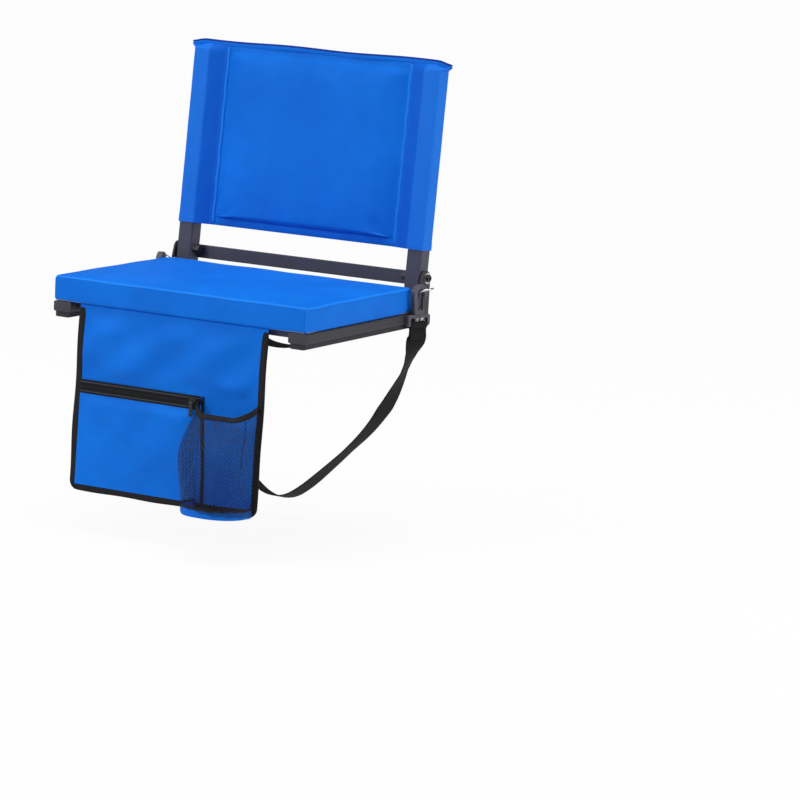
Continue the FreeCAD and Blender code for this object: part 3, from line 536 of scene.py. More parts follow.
def sew(name, lines, length=2.6, gap=1.2, radius=0.4):
    """Rows of stitches along lines of points, in millimetres."""
    points, faces = [], []
    for line in lines:
        line = [Vector(point) for point in line]
        reach = reaches(line)
        for at in np.arange(length / 2, reach[-1], length + gap):
            i = min(np.searchsorted(reach, at, side="right") - 1, len(line) - 2)
            run = line[i + 1] - line[i]
            centre = line[i] + run * ((at - reach[i]) / (reach[i + 1] - reach[i]))
            turn = np.array(run.to_track_quat("X", "Z").to_matrix())
            placed = (stitch_points * [length / 2, radius, radius]) @ turn.T + np.array(centre)
            faces += [[corner + len(points) for corner in face] for face in stitch_faces]
            points += list(placed * mm)
    mesh = bpy.data.meshes.new(name)
    mesh.from_pydata([tuple(point) for point in points], [], faces)
    piece = bpy.data.objects.new(name, mesh)
    bpy.context.scene.collection.objects.link(piece)
    return piece


print("a stitch has", len(stitch_points), "points and", len(stitch_faces), "faces")

# %% [markdown]
# Hems, bindings and sewn edges are cloth folded over an edge: flat rolls along a line. A grid is rolled up
# round the line and its two long edges are joined.

# %% Rolled edges
roll_rows = 12


def flat_roll(name, line, half_width, half_depth, flat, rows=roll_rows, end=0.2):
    """A flat tube along a line: half_width along flat, half_depth across it, and drawn in at its ends."""
    steps = len(line) - 1

    def squarish(value):
        return copysign(abs(value) ** 0.5, value)

    def place(u, v):
        i = round(u * steps)
        run = heading(line, i)
        wide = square_to(run, Vector(flat(i) if callable(flat) else flat))
        angle = 2 * pi * v
        across = wide * half_width * squarish(cos(angle))
        through = run.cross(wide) * half_depth * squarish(sin(angle))
        return line[i] + (across + through) * (end if i in (0, steps) else 1)

    return close_up(cloth_grid(name, steps, rows, place, (line_length(line), 4 * half_width)))


print("a roll has", roll_rows, "points round it")

# %% [markdown]
# ## Strap ends
# At each hook the webbing goes round the lower bar of the loop and is sewn to itself. A grid is wrapped
# along the fold's section, in the plane that the hook hangs in, and then thickened.

# %% Strap ends
hook_turn = Matrix.Rotation(radians(-15), 3, "Z")


def at_hook(across, along, height, side):
    """A place given from the hook's eye: out of its plane, along it to the rear, and up."""
    place = hook_turn @ Vector((across, along, height)) + hook
    return Vector((place.x * side, place.y, place.z))


half_fold = [(1.75, -67), (1.6, -61.5), (0.95, -56), (0.9, -51.2), (2.4, -49.2), (3.4, -47.4),
             (3.45, -45), (3.4, -42.8), (2.7, -41.7)]
fold = half_fold + [(0, -41.45)] + [(-across, height) for across, height in reversed(half_fold)]
fold_length = line_length(fold)
for side, word in sides:
    def wrapped(u, v):
        across, height = section_point(fold, u)
        return at_hook(across, (v - 0.5) * strap_width, height, side)

    end = close_up(cloth_grid(word + "_sewn_end", 48, 4, wrapped, (fold_length, strap_width), 1.5))
    dress(end, "seat", webbing, [word + "_strap_end"], 60)
    rows = [[at_hook(1.9, y, z, side) for y in (-14, 14)] for z in (-58, -53)]
    rows += [[at_hook(1.9, y, -58, side), at_hook(1.9, -y, -53, side)] for y in (-14, 14)]
    dress(sew(word + "_end_stitches", rows, 2.2, 1.0, 0.35), "seat", binding)
print("webbing in each sewn end:", round(fold_length, 1), "mm")

# %% [markdown]
# ## Moulded edges
# Real plastic and pressed plates have no knife edges. A copy of the solid is merged, its flat faces are
# dissolved to single ones, and a bevel rounds the sharp edges that are left.

# %% Softened copies
def soften(node, width):
    """A copy of a solid with its sharp edges rounded."""
    piece = nodes[node].copy()
    piece.data = nodes[node].data.copy()
    for key in list(piece.keys()):
        del piece[key]
    piece.parent = None
    piece.name = piece.data.name = node + "_moulded"
    bpy.context.scene.collection.objects.link(piece)
    edit(piece)
    bpy.ops.mesh.remove_doubles(threshold=0.000005)
    bpy.ops.mesh.dissolve_limited(angle_limit=radians(1))
    bpy.ops.object.mode_set(mode="OBJECT")
    shape_with(piece, "BEVEL", width=width * mm, segments=3, limit_method="ANGLE", angle_limit=radians(35))
    return piece


bodies = {node: body for body, members in frame["record"]["behaviour"]["bodies"].items() for node in members}
moulded = {"snap_hook": 1.5, "swivel_loop": 1.1, "hinge_ear": 0.5, "hook_gate": 0.35}
softer = {word + node: width for word in ("right_", "left_") for node, width in moulded.items()}
softer |= {"front_rail_caps": 0.9, "rear_rail_caps": 0.9, "post_foot_caps": 0.8,
           "zip_slider": 0.35, "zip_pull": 0.4}
for node, width in softer.items():
    dress(soften(node, width), bodies[node], node_finish[node], [node], 30)
print("softened solids:", len(softer))

# %% [markdown]
# ## The seat cushion
# The cushion is a boxed cover over foam on a board, with straight sewn edges and a low crown. A cube is cut
# into an even net and swollen by Blender's cloth with some pressure, while its sewn edges and its bottom are
# pinned. A point's travel along each axis is capped softly.

# %% Inflating
def inflate(piece, pressure, limits, pinned, frames=20):
    """Swells a mesh as cloth and keeps each point's travel within limits, in millimetres along each axis."""
    rest = points_of(piece)
    take(piece)
    cloth = piece.modifiers.new("cloth", "CLOTH")
    cloth.settings.use_pressure = True
    cloth.settings.uniform_pressure_force = pressure
    cloth.settings.effector_weights.gravity = 0
    cloth.settings.vertex_group_mass = pinned
    cloth.collision_settings.use_collision = False
    cloth.point_cache.frame_start = 1
    cloth.point_cache.frame_end = frames
    for step in range(1, frames + 1):
        bpy.context.scene.frame_set(step)
    bpy.ops.object.modifier_apply(modifier=cloth.name)
    bpy.context.scene.frame_set(1)
    moved = points_of(piece) - rest
    bound = np.array(limits) * mm
    piece.data.vertices.foreach_set("co", (rest + bound * np.tanh(moved / bound)).ravel())
    print(piece.name, "points", len(rest), "swell", np.round(np.abs(moved).max(axis=0) / mm, 1), "mm")
    return piece


def slice_up(piece, pitch):
    """Cuts a box into an even net with planes across each axis."""
    take(piece)
    points = points_of(piece)
    low, high = points.min(axis=0), points.max(axis=0)
    bpy.ops.object.mode_set(mode="EDIT")
    for axis, normal in enumerate(((1, 0, 0), (0, 1, 0), (0, 0, 1))):
        cuts = round((high[axis] - low[axis]) / (pitch * mm))
        for i in range(1, cuts):
            place = np.array(normal) * (low[axis] + (high[axis] - low[axis]) * i / cuts)
            bpy.ops.mesh.select_all(action="SELECT")
            bpy.ops.mesh.bisect(plane_co=place, plane_no=normal)
    bpy.ops.object.mode_set(mode="OBJECT")


cover_low, cover_high = (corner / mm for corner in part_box("seat_cover"))
half_x, half_y, seat_low = cover_high.x - 0.3, cover_high.y - 0.3, cover_low.z + 0.1
seat_edge = seat_low + 36.8
print("cushion", round(2 * half_x), "by", round(2 * half_y), "mm, sewn edge at", round(seat_edge, 1), "mm")

# %% [markdown]
# Points that lie on two walls at once are on a sewn edge, so they are pinned, and so is the bottom. After
# the swelling the edges are rounded, and the top is drawn in along a shallow valley beside its seam.

# %% Cushion
valley_from_edge, valley_depth = 10, 1.5
cushion = block("seat_cushion", (0, 0, (seat_low + seat_edge) / 2),
                (2 * half_x, 2 * half_y, seat_edge - seat_low))
slice_up(cushion, 6)
sewn = cushion.vertex_groups.new(name="sewn")
for vertex in cushion.data.vertices:
    x, y, z = vertex.co / mm
    walls = (abs(x) > half_x - 0.1) + (abs(y) > half_y - 0.1) + (z > seat_edge - 0.1)
    if walls > 1 or z < seat_low + 0.1:
        sewn.add([vertex.index], 1, "REPLACE")
inflate(cushion, 5, (1.0, 1.0, 4.2), "sewn")
shape_with(cushion, "BEVEL", width=4.0 * mm, segments=3, limit_method="ANGLE", angle_limit=radians(40))
shape_with(cushion, "SUBSURF", levels=1, render_levels=1)
for vertex in cushion.data.vertices:
    x, y, z = vertex.co / mm
    rumple = 0.35 * sin(x * 0.05 + y * 0.021) * sin(y * 0.044 - x * 0.013)
    wave = 0.3 * sin(x * 0.045 + 1) * sin(y * 0.06 + 2)
    from_edge = min(half_x - abs(x), half_y - abs(y))
    valley = valley_depth * exp(-((from_edge - valley_from_edge) / 4.5) ** 2)
    vertex.co = Vector((x, y, z + (rumple + wave - valley) * ease(seat_low + 12, seat_edge, z))) * mm
dress(cushion, "seat", blue, ["seat_cover", "seat_foam"], 60)
print("cushion points:", len(cushion.data.vertices))

# %% [markdown]
# The cover's four boxing strips meet in upright seams at the corners, with a row of thread down each side
# of them. The points are found on the cushion itself, a little outside it.

# %% Cushion seams
def on_piece(piece, place, lift):
    _, point, normal, _ = piece.closest_point_on_mesh(Vector(place) * mm)
    return (point + normal * lift * mm) / mm


heights = [seat_low + 3 + 2 * i for i in range(16)]
corner_rows = [[on_piece(cushion, (sx * (half_x + 2 - back_x), sy * (half_y + 2 - back_y), z), 0.05)
                for z in heights]
               for sx in (-1, 1) for sy in (-1, 1) for back_x, back_y in ((0, 7), (7, 0))]
dress(sew("cushion_corner_stitches", corner_rows, 2.4, 1.2, 0.3), "seat", thread)
for sy, end in ((-1, "front"), (1, "rear")):
    for sx, word in sides:
        upright = [on_piece(cushion, (sx * (half_x + 2), sy * (half_y + 2), seat_low + 2 + 2 * i), 0)
                   for i in range(18)]
        ridge = flat_roll(end + "_" + word + "_corner_ridge", upright, 1.7, 0.7, (1, -sx * sy, 0))
        dress(ridge, "seat", seam_blue, angle=60)
print("rows of thread at the corners:", len(corner_rows))

# %% [markdown]
# Where the cover's top is sewn to the boxing strips, a narrow roll runs along each upper edge.

# %% Cushion edges
far = Vector((half_x + 1, half_y + 1, seat_edge + 1))
round_trip = ((-1, -1), (1, -1), (1, 1), (-1, 1), (-1, -1))
corners = [far * Vector((sx, sy, 1)) for sx, sy in round_trip]
for start, end, word in zip(corners, corners[1:], ("front", "right", "rear", "left")):
    middle = (start + end) / 2
    outward = Vector((middle.x / far.x, middle.y / far.y, 0))
    line = [on_piece(cushion, start.lerp(end, i / 60), 0) for i in range(61)]
    edge = flat_roll(word + "_edge_roll", line, 1.9, 0.6, Vector((0, 0, 1)) - outward)
    dress(edge, "seat", seam_blue, angle=60)
print("cushion edges:", [round((b - a).length) for a, b in zip(corners, corners[1:])], "mm")

# %% [markdown]
# ## The padded back panel
# Two sheets are sewn together round a thin foam. A flat grid is thickened into two layers, raised where the
# foam lies, and its border is pinned like the real seams, so only the middle swells under pressure.

# %% On the back
pivot = Vector(joints["back_fold"]["pos_m"]) / mm
recline = radians(6)
slope = Vector((0, sin(recline), cos(recline)))
back_normal = Vector((0, cos(recline), -sin(recline)))
panel_half, panel_low, panel_high = 160, 40, 311.5
panel_tall = panel_high - panel_low


def on_back(x, depth, along):
    """A place on the leaning back: across, behind its mid plane, and up along the posts from the pivot."""
    return Vector((x, pivot.y, pivot.z)) + back_normal * depth + slope * along


def back_place(vertex):
    """The same three measures for a point of a piece, in millimetres."""
    offset = vertex.co / mm - pivot
    return offset.x, offset.dot(back_normal), offset.dot(slope)


print("panel", 2 * panel_half, "by", panel_tall, "mm")

# %% [markdown]
# The foam rises steeply from the lower hem, bellies just above it and thins out towards the top. The
# swelling softens that crease, so at the end the cloth is drawn down to the hem again.

# %% Padded back
hem_height, belly_height = 12.5, 62
front_rise, rear_rise = 6.2, 3.8
swollen, drawn_down = (0, 52, 74, 130, 400), (0, 52, 57.5, 130, 400)


def short_of(inside, width):
    """1 at the stitching, 0 at a width inside it."""
    return 1 - min(max(inside / width, 0), 1)


def foam(x, along):
    """How far the foam has risen: 0 at the stitching and 1 a little way in."""
    ends = max(short_of(along - panel_low - hem_height, 6), short_of(panel_high - 8 - along, 14))
    return 1 - min(hypot(short_of(panel_half - 5 - abs(x), 22), ends), 1) ** 2


def pad_place(u, v):
    return on_back((2 * u - 1) * panel_half, 0, panel_low + v ** 1.3 * panel_tall)


pad = cloth_grid("padded_back_panel", 72, 76, pad_place, thick=2.4)
held = pad.vertex_groups.new(name="sewn")
for vertex in pad.data.vertices:
    x, depth, along = back_place(vertex)
    raised = foam(x, along)
    belly = 1 + 0.45 * exp(-((along - belly_height) / (70 if along > belly_height else 12)) ** 2)
    gather = 1.2 * raised * (1 - raised) * sin(along * 0.5 + x * 0.6)
    rise = -front_rise * belly if depth < 0 else rear_rise
    vertex.co = on_back(x, depth + rise * raised + gather, along) * mm
    if raised == 0:
        held.add([vertex.index], 1, "REPLACE")
inflate(pad, 5, (0.8, 3.0, 2.2), "sewn")
for vertex in pad.data.vertices:
    x, depth, along = back_place(vertex)
    vertex.co = on_back(x, depth, np.interp(along, swollen, drawn_down)) * mm
shape_with(pad, "SUBSURF", levels=1, render_levels=1)
dress(pad, "back", blue, ["back_front_panel", "back_foam", "back_rear_panel"], 60)
depths = [back_place(vertex)[1] for vertex in pad.data.vertices]
print("pad from", round(min(depths), 1), "to", round(max(depths), 1), "mm")

# %% [markdown]
# ## Sleeves of the back
# Each post stands in a sleeve that is part of the same cover. The sleeve's section runs from the stitch
# line round the post and back, and its top is pinched flat into the hem that closes it.

# %% Sleeves
half_section = [(158.5, -1.5), (165, -3.4), (176, -8.9), (184, -12.6), (187.5, -13.5), (200, -13.6),
                (210, -13.5), (212.8, -12.8), (213.6, -10.5)]
section = half_section + [(213.6, 0)] + [(x, -depth) for x, depth in reversed(half_section)]
sleeve_girth = line_length(section)
# The sleeve's two colours span its painted shade on the webs and its painted light over the post.
sleeve_blue = coated_polyester("sleeve_polyester", (28, 117, 222), (2, 88, 198), sleeve_girth)
for side, word in sides:
    def sleeve(u, v):
        x, depth = section_point(section, u)
        along = panel_low + panel_tall * v
        pinch = ease(302, 312.5, along)
        hem = 0.35 * (1 - ease(49, 50.5, along))
        rumple = 0.35 * sin(along * 0.07 + x * 0.3) * sin(x * 0.17 + 2) * ease(50, 90, along)
        depth = depth * (1 + (hem + rumple) / 14) * (1 - pinch) + copysign(1.5, depth) * pinch
        x = x + pinch * 11 * ease(188, 214, x) + hem * ease(200, 213, x)
        return on_back(side * x, depth, along - 4 * pinch * ease(196, 214, x))

    piece = close_up(cloth_grid(word + "_sleeve", 54, 60, sleeve, (sleeve_girth, panel_tall), 0.8))
    dress(piece, "back", sleeve_blue, [word + "_post_sleeve"], 50)
print("cloth round each post:", round(sleeve_girth), "mm")

# %% [markdown]
# ## Hems and seams
# The hem on top is one roll that sticks out past the posts, and its ends droop. A thin navy roll along its top is
# painted shade, a darker line along the fold. Another roll closes the lower edge.

# %% Hems of the back
def top_line(x):
    droop = 4.5 * ease(200, 226, abs(x)) + 0.8 * sin(x * 0.031)
    return on_back(x, 0.7 * sin(x * 0.045 + 1), 313.6 - droop)


# Painted shade: a navy cloth for the thin roll along the top of the hem, darker than the cloth round it.
hem_shade_blue = coated_polyester("hem_shade_polyester", (22, 66, 172), (8, 42, 130))
hem_line = [top_line(x) for x in np.linspace(-226, 226, 97)]
edge_line = [top_line(x) + slope * 3.1 for x in np.linspace(-227, 227, 97)]
low_line = [on_back(x, 0, 46.6) for x in np.linspace(-158, 158, 61)]
hems = (("top_hem_roll", hem_line, 4.0, 2.3, blue, ["back_top_hem"]),
        ("top_hem_shade_roll", edge_line, 1.5, 2.6, hem_shade_blue, []),
        ("lower_hem_fold", low_line, 6.2, 1.9, blue, []))
for name, line, half_width, half_depth, finish, stands_for in hems:
    dress(flat_roll(name, line, half_width, half_depth, slope), "back", finish, stands_for, 60)
print("hem on top:", round(line_length(hem_line)), "mm")

# %% [markdown]
# Ridges stand where the panel is sewn to the sleeves, with rows of thread beside them.

# %% Seams of the back
levels = np.linspace(41, 310, 71)
for side, word in sides:
    seam = [on_back(side * (158.8 + 0.4 * sin(along * 0.13)), 0, along) for along in levels]
    ridge = flat_roll(word + "_stitched_ridge", seam, 2.6, 3.3, (1, 0, 0))
    dress(ridge, "back", seam_blue, angle=60)
    rows = [[on_back(side * x, face * depth, along) for along in levels]
            for face in (-1, 1) for x, depth in ((155.4, 1.5), (163.4, 3.1))]
    dress(sew(word + "_ridge_stitches", rows, 3.0, 1.2, 0.45), "back", thread)
wide = np.linspace(-150, 150, 61)
hem_rows = [[on_back(x, face * depth, along) for x in wide]
            for face in (-1, 1) for depth, along in ((2.0, 51), (1.7, 306))]
for side in (-1, 1):
    hem_rows += [[on_back(side * x, face * 14.1, 49) for x in (188, 200, 212)] for face in (-1, 1)]
    hem_rows.append([on_back(side * 214.3, depth, 49) for depth in (-11, 0, 11)])
dress(sew("back_hem_stitches", hem_rows, 3.0, 1.2, 0.36), "back", thread)
print("rows of thread in the hems:", len(hem_rows))

# %% [markdown]
# ## The hanging pocket
# The pocket is a flat bag that hangs from under the cushion's front edge. It is modelled upright and then
# leaned a little forward as a whole. One function says how far its sheet stands off the flat plane, which
# makes the soft folds above the zip.

# %% Pocket cloth
hang_y, hang_z = (value / mm for value in joints["pocket_swing"]["pos_m"][1:])
pocket_left, pocket_right = (corner.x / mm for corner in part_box("pocket_binding"))
zip_left, zip_right = (corner.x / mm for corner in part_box("zip_tape"))
pocket_low, zip_z, corner_radius = hang_z - 269, hang_z - 117, 13
pocket_wide, pocket_tall, zip_long = pocket_right - pocket_left, hang_z - pocket_low, zip_right - zip_left
hinge = Matrix.Translation((0, hang_y * mm, hang_z * mm))
forward = hinge @ Matrix.Rotation(radians(-3), 4, "X") @ hinge.inverted()


def dress_hung(piece, finish, stands_for=(), angle=60):
    """Leans a piece of the pocket forward and dresses it."""
    piece.data.transform(forward)
    return dress(piece, "pocket", finish, stands_for, angle)


def stand_off(x, z):
    """How far the pocket's cloth stands forward of its flat plane."""
    free = ease(0, 40, hang_z - z) * ease(0, 22, z - zip_z - 11)
    low = ease(0, 40, zip_z - 14 - z) * ease(0, 30, z - pocket_low)
    edge = ease(0, 34, x - pocket_left) * ease(0, 34, pocket_right - x)
    folds = 3.4 * sin(0.040 * (x + 0.8 * z) + 0.4) + 2.2 * sin(0.062 * (x - 1.2 * z) + 2.1)
    return ((3.6 + folds) * free + 0.5 * sin(0.06 * x + 0.04 * z) * low) * edge


def sheet_place(u, v):
    z = pocket_low + 1 + pocket_tall * v
    inset = 1 + corner_radius - sqrt(corner_radius ** 2 - max(corner_radius - (z - pocket_low), 0) ** 2)
    x = pocket_left + inset + (pocket_wide - 2 * inset) * u
    return x, hang_y - stand_off(x, z), z


panel = cloth_grid("pocket_sheet", 80, 70, sheet_place, (pocket_wide, pocket_tall), 1.2)
dress_hung(panel, blue, ["pocket_panel"])
print("pocket", round(pocket_wide), "by", round(pocket_tall), "mm")

# %% [markdown]
# Under the zip a second sheet is sewn on along its sides and its lower edge. It swells a little, as a
# pocket does that has been used.

# %% Zipped pocket
bag_low, bag_high = pocket_low + 9, zip_z - 9.5
bag_tall = bag_high - bag_low


def bag_place(u, v):
    x = zip_left - 1 + (zip_long + 2) * u
    z = bag_low + bag_tall * v
    sides = ease(0, 26, x - zip_left) * ease(0, 26, zip_right - x)
    swell = sides * ease(0, 80, z - bag_low) * ease(0, 16, bag_high - z)
    folds = 0.9 * sin(0.045 * x + 0.09 * z) + 0.7 * sin(0.08 * x - 0.05 * z + 1)
    return x, hang_y - 1.5 - (4.2 + folds) * swell, z


bag = cloth_grid("zip_pocket_cloth", 56, 36, bag_place, (zip_long, bag_tall), 0.9)
dress_hung(bag, blue, ["zip_pocket_front"])
print("zipped pocket", round(zip_long), "by", round(bag_tall), "mm")

# %% [markdown]
# A black tape is folded over the pocket's raw edges. It runs down one side, round the two lower corners and
# up the other side as one flat roll, and it wanders a little, as sewn binding does.

# %% Binding
def border_line(inset, corner, top):
    left, right, low = pocket_left + inset, pocket_right - inset, pocket_low + inset
    turn = np.linspace(0.2, 1.37, 6)
    points = [(left, z) for z in np.linspace(top, low + corner, 25)]
    points += [(left + corner * (1 - cos(a)), low + corner * (1 - sin(a))) for a in turn]
    points += [(x, low) for x in np.linspace(left + corner, right - corner, 31)]
    points += [(right - corner * (1 - sin(a)), low + corner * (1 - cos(a))) for a in turn]
    points += [(right, z) for z in np.linspace(low + corner, top, 25)]
    return [Vector((x + 0.7 * sin(z * 0.05), hang_y - 0.4 * sin(x * 0.03 + z * 0.04),
                    z + 0.5 * sin(x * 0.06))) for x, z in points]


border = border_line(5.2, 9, hang_z - 4)


def inwards(i):
    return heading(border, i).cross(Vector((0, -1, 0))).normalized()


edging = flat_roll("pocket_edging", border, 5.4, 1.7, inwards, end=0.7)
dress_hung(edging, binding, ["pocket_binding"])
rows = [[point + inwards(i) * 3.6 + Vector((0, face * 1.6, 0)) for i, point in enumerate(border)]
        for face in (-1, 1)]
dress_hung(sew("edging_stitches", rows, 2.4, 1.2, 0.34), webbing)
print("binding", round(line_length(border)), "mm")

# %% [markdown]
# ## The zip
# A zip is two woven tapes with a coil of teeth between them. The tape is a thin strip with two lines of
# lighter thread. One tooth is a cube with its edges taken off, and an array repeats it along the coil.

# %% Zip
def tape_place(u, v):
    x = zip_left - 1.5 + (zip_long + 1.5) * u
    return x, hang_y - 1.75 - 0.15 * sin(x * 0.09), zip_z + 20 * (v - 0.5)


tape = cloth_grid("zip_tape_strip", 48, 8, tape_place, (zip_long, 20), 0.8)
dress_hung(tape, zip_cloth, ["zip_tape"])

tooth_pitch, tooth_size = 1.45, (0.95, 1.5, 3.7)
teeth = block("zip_teeth", (zip_left + 0.8, hang_y - 3.0, zip_z), tooth_size)
edit(teeth)
bpy.ops.mesh.bevel(offset=0.3 * mm, segments=1, affect="EDGES")
bpy.ops.object.mode_set(mode="OBJECT")
tooth_count = int((zip_long - 1.6) / tooth_pitch)
shape_with(teeth, "ARRAY", count=tooth_count, use_relative_offset=False,
           use_constant_offset=True, constant_offset_displace=(tooth_pitch * mm, 0, 0))
dress_hung(teeth, slot_finish["zip_plastic"], ["zip_coil"], 30)
rows = [[(x, hang_y - 2.3, zip_z + at) for x in (zip_left, zip_right)] for at in (-8.2, 8.2)]
dress_hung(sew("zip_stitches", rows, 2.4, 1.2, 0.32), webbing)
print("teeth:", tooth_count)

# %% [markdown]
# ## The bottle pocket
# Netting bellies forward from the bag, fullest at the middle and drawn in at its slanting hem. Its section
# is a bay with round corners, worked out at every height. The cloth map is in metres, so the diamonds keep
# their size.

# %% Bottle bay
bay_left, bay_right = (corner.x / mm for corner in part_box("bottle_net"))
bay_back, bay_low, bay_top = hang_y - 2.3, pocket_low + 3, hang_z - 108
bay_belly = bay_low + 81
base_reach, belly_reach, top_reach = 62, 66, 14


def bay_reach(z):
    """How far the bay stands forward at a height."""
    if z < bay_belly:
        return belly_reach - (belly_reach - base_reach) * ((bay_belly - z) / (bay_belly - bay_low)) ** 2
    share = min((bay_top - z) / (bay_top - bay_belly), 1)
    return top_reach + (belly_reach - top_reach) * sin(max(share, 0) * pi / 2) ** 1.43


def bay_point(u, z, grow=0.0):
    """The bay's outline at a height, from the left seam (u = 0) round the front to the right seam (u = 1)."""
    reach = bay_reach(z) + grow
    radius = min(reach - 2, 42 - 16 * ease(10, 70, z - bay_low))
    straight, bend, front = reach - radius, radius * pi / 2, bay_right - bay_left - 2 * radius
    runs = [straight, bend, front, bend, straight]
    at, leg = u * sum(runs), 0
    while leg < 4 and at > runs[leg]:
        at -= runs[leg]
        leg += 1
    sine, cosine = sin(at / radius), cos(at / radius)
    return [(bay_left, bay_back - at),
            (bay_left + radius * (1 - cosine), bay_back - straight - radius * sine),
            (bay_left + radius + at, bay_back - reach),
            (bay_right - radius * (1 - sine), bay_back - reach + radius * (1 - cosine)),
            (bay_right, bay_back - straight + at)][leg]


bay_front = [round(value) for value in bay_point(0.5, bay_belly)]
print("bay", round(bay_right - bay_left), "mm wide, its belly at", bay_front)

# %% [markdown]
# The netting hangs between a slanting lip on top and the cup's rim below. Slack makes it stand in and out a
# little. A flat roll binds the lip, and a pleat is sewn into the right side.

# %% Netting
net_flat = (194, 150)


def lip_height(u, drop):
    """The height of a line that runs round the bay, drop below its slanting rim."""
    z = bay_top - drop
    for _ in range(12):
        wanted = bay_top - drop - 18 / (26 + 0.93 * drop) * (bay_back - bay_point(u, z)[1])
        z += 0.5 * (wanted - z)
    return z


def bay_line(height, grow, count=81):
    """Points round the bay, at a height given for each share of the way."""
    return [Vector((*bay_point(u, height(u), grow), height(u))) for u in np.linspace(0, 1, count)]


def rim_height(u):
    return bay_low + 9 + 0.7 * sin(u * 19)


def net_place(u, v):
    low, top = bay_low + 8, lip_height(u, 7)
    z = low + (top - low) * v
    slack = ease(0, 0.12, u) * ease(0, 0.12, 1 - u) * (0.35 + 0.65 * (1 - v))
    x, y = bay_point(u, z, (1.3 * sin(u * 21 + z * 0.035) + 0.9 * sin(u * 47 - z * 0.05)) * slack)
    return x, y, z


netting = cloth_grid("bottle_netting", 96, 60, net_place, net_flat)
dress_hung(netting, net, ["bottle_net"], 70)

lip = bay_line(lambda u: lip_height(u, 4.5), 0.3)
below_lip, above_lip = (bay_line(lambda u: lip_height(u, drop), 0) for drop in (8, 1))
lip_binding = flat_roll("bottle_hem_binding", lip, 4.3, 1.2, lambda i: above_lip[i] - below_lip[i], end=0.7)
dress_hung(lip_binding, binding, ["bottle_hem"])
pleat_heights = np.linspace(bay_belly - 10, lip_height(0.83, 9), 30)
pleat = [Vector((*bay_point(0.83, z, 0.9), z)) for z in pleat_heights]
pleat_seam = flat_roll("net_pleat_seam", pleat, 0.5, 0.5, (1, 0, 0), 6, 0.7)
dress_hung(pleat_seam, binding)
print("lip", round(line_length(lip)), "mm round, netting flat", net_flat, "mm")

# %% [markdown]
# The bottle stands in a shallow blue cup: a floor of doubled cloth with a rim that the netting is gathered
# into under a narrow black band, with its loose end hanging over the rim. The cup's grid runs from the
# middle of the back out to the edge and then up the rim.

# %% Cup and seam tape
def cup_place(u, v):
    x, y = bay_point(u, bay_low, 0.8)
    middle = (bay_left + bay_right) / 2
    out = min(v / 0.6, 1) * (1 - 0.03 * (1 - ease(0.6, 0.75, v)))
    z = bay_low - 3 + (rim_height(u) - bay_low + 3) * ease(0.57, 1, v)
    return middle + (x - middle) * out, bay_back + (y - bay_back) * out, z


cup = close_up(cloth_grid("bottle_cup", 72, 26, cup_place, (194, 80)))
shape_with(cup, "SOLIDIFY", thickness=0.9 * mm, offset=0)
dress_hung(cup, blue, ["bottle_base"])
band = bay_line(lambda u: rim_height(u) + 1.2 + 0.7 * sin(u * 61), 1.0)
cup_band = flat_roll("cup_band", band, 1.3, 0.9, (0, 0, 1), 10, 0.7)
dress_hung(cup_band, binding)


def gather_place(u, v):
    """The netting's loose end, which hangs over the cup and lower on the right."""
    low = rim_height(u) - 1.5 - 7 * ease(0.35, 0.8, u) + 0.9 * sin(u * 57)
    z = low + (rim_height(u) + 5 - low) * v
    x, y = bay_point(u, z, 2.0 + 0.5 * sin(u * 70 + z))
    return x + 0.03 * (x - (bay_left + bay_right) / 2), y, z


gather = cloth_grid("net_gather", 96, 8, gather_place, (250, 17))
dress_hung(gather, net, angle=70)

seam_line = [Vector((bay_left + 3 + 0.07 * (bay_top - z) + 0.5 * sin(z * 0.06), hang_y - 1.9, z))
             for z in np.linspace(pocket_low + 10, bay_top + 1, 40)]
seam_tape = flat_roll("bottle_seam_binding", seam_line, 2.4, 0.8, (1, 0, 0), 8, 0.8)
dress_hung(seam_tape, binding, ["bottle_seam_tape"])
print("cup rim", round(line_length(band)), "mm round, seam tape", round(line_length(seam_line)), "mm long")

# %% [markdown]
# ## Studio
# A floor of pale paper lies below the strap. It shows the camera and the reflections its own white, with
# some of the shadow left, and the background is white for the camera.

# %% Studio
floor_height, paper_grey, paper_glow = -0.31, 0.72, 0.93
sky_light = 0.22


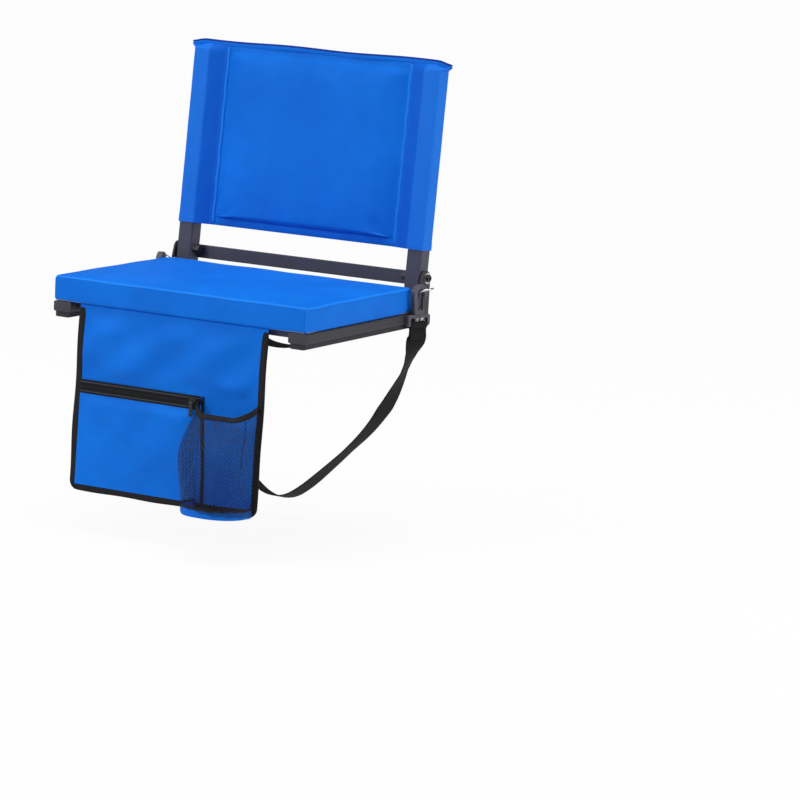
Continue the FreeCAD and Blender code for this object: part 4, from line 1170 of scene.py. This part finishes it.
def seen_by(finish, *kinds):
    """1 for the rays of any of these kinds."""
    found = finish.node("LightPath", out="Is " + kinds[0] + " Ray")
    for kind in kinds[1:]:
        found = found.larger(finish.node("LightPath", out="Is " + kind + " Ray"))
    return found


paper = Finish("pale_paper")
matt = paper.node("BsdfDiffuse", {"Color": (paper_grey, paper_grey, paper_grey, 1)})
glow = paper.node("Emission", {"Color": (1, 1, 1, 1), "Strength": 1})
seen = seen_by(paper, "Camera", "Glossy", "Transmission") * paper_glow
shown = paper.node("MixShader", {0: seen, 1: matt, 2: glow})
paper.node("OutputMaterial", {"Surface": shown})

start_clean()
bpy.ops.mesh.primitive_plane_add(size=60, location=(0, 0, floor_height))
floor = bpy.context.object
floor.name = "studio_floor"
floor.data.materials.append(paper.material)

sky = Finish("studio", "worlds")
level = sky.node("Mix", {0: seen_by(sky, "Camera", "Transmission"), 2: sky_light, 3: 1.0})
light = sky.node("Background", {"Color": (1, 1, 1, 1), "Strength": level})
sky.node("OutputWorld", {"Surface": light})
bpy.context.scene.world = sky.material
print("floor at", floor_height, "m, sky at", sky_light)

# %% [markdown]
# Soft light falls evenly from above, a broad lamp stands in front and another one behind on the right, which
# brightens the faces on that side.

# %% Lamps
def lamp(name, kind, place, target, power, spread):
    """A lamp that looks at a target. Its spread is a sun's angle or a window's width."""
    bpy.ops.object.light_add(type=kind, location=place)
    made = bpy.context.object
    made.name = name
    made.data.energy = power
    setattr(made.data, "angle" if kind == "SUN" else "size", spread)
    made.rotation_euler = (Vector(target) - Vector(place)).to_track_quat("-Z", "Y").to_euler()
    print(name, "at", place, "with a power of", power)


lamp("soft_sky", "SUN", (0.2, -0.3, 3), (0, 0, 0), 2.15, radians(40))
lamp("front_window", "AREA", (-1.6, -2.2, 1.6), (0, 0, 0.05), 45, 1.5)
lamp("right_window", "AREA", (2.3, 0.6, 0.8), (0, 0, 0.1), 24, 1.4)
bpy.context.scene.view_settings.view_transform = "Standard"

# %% [markdown]
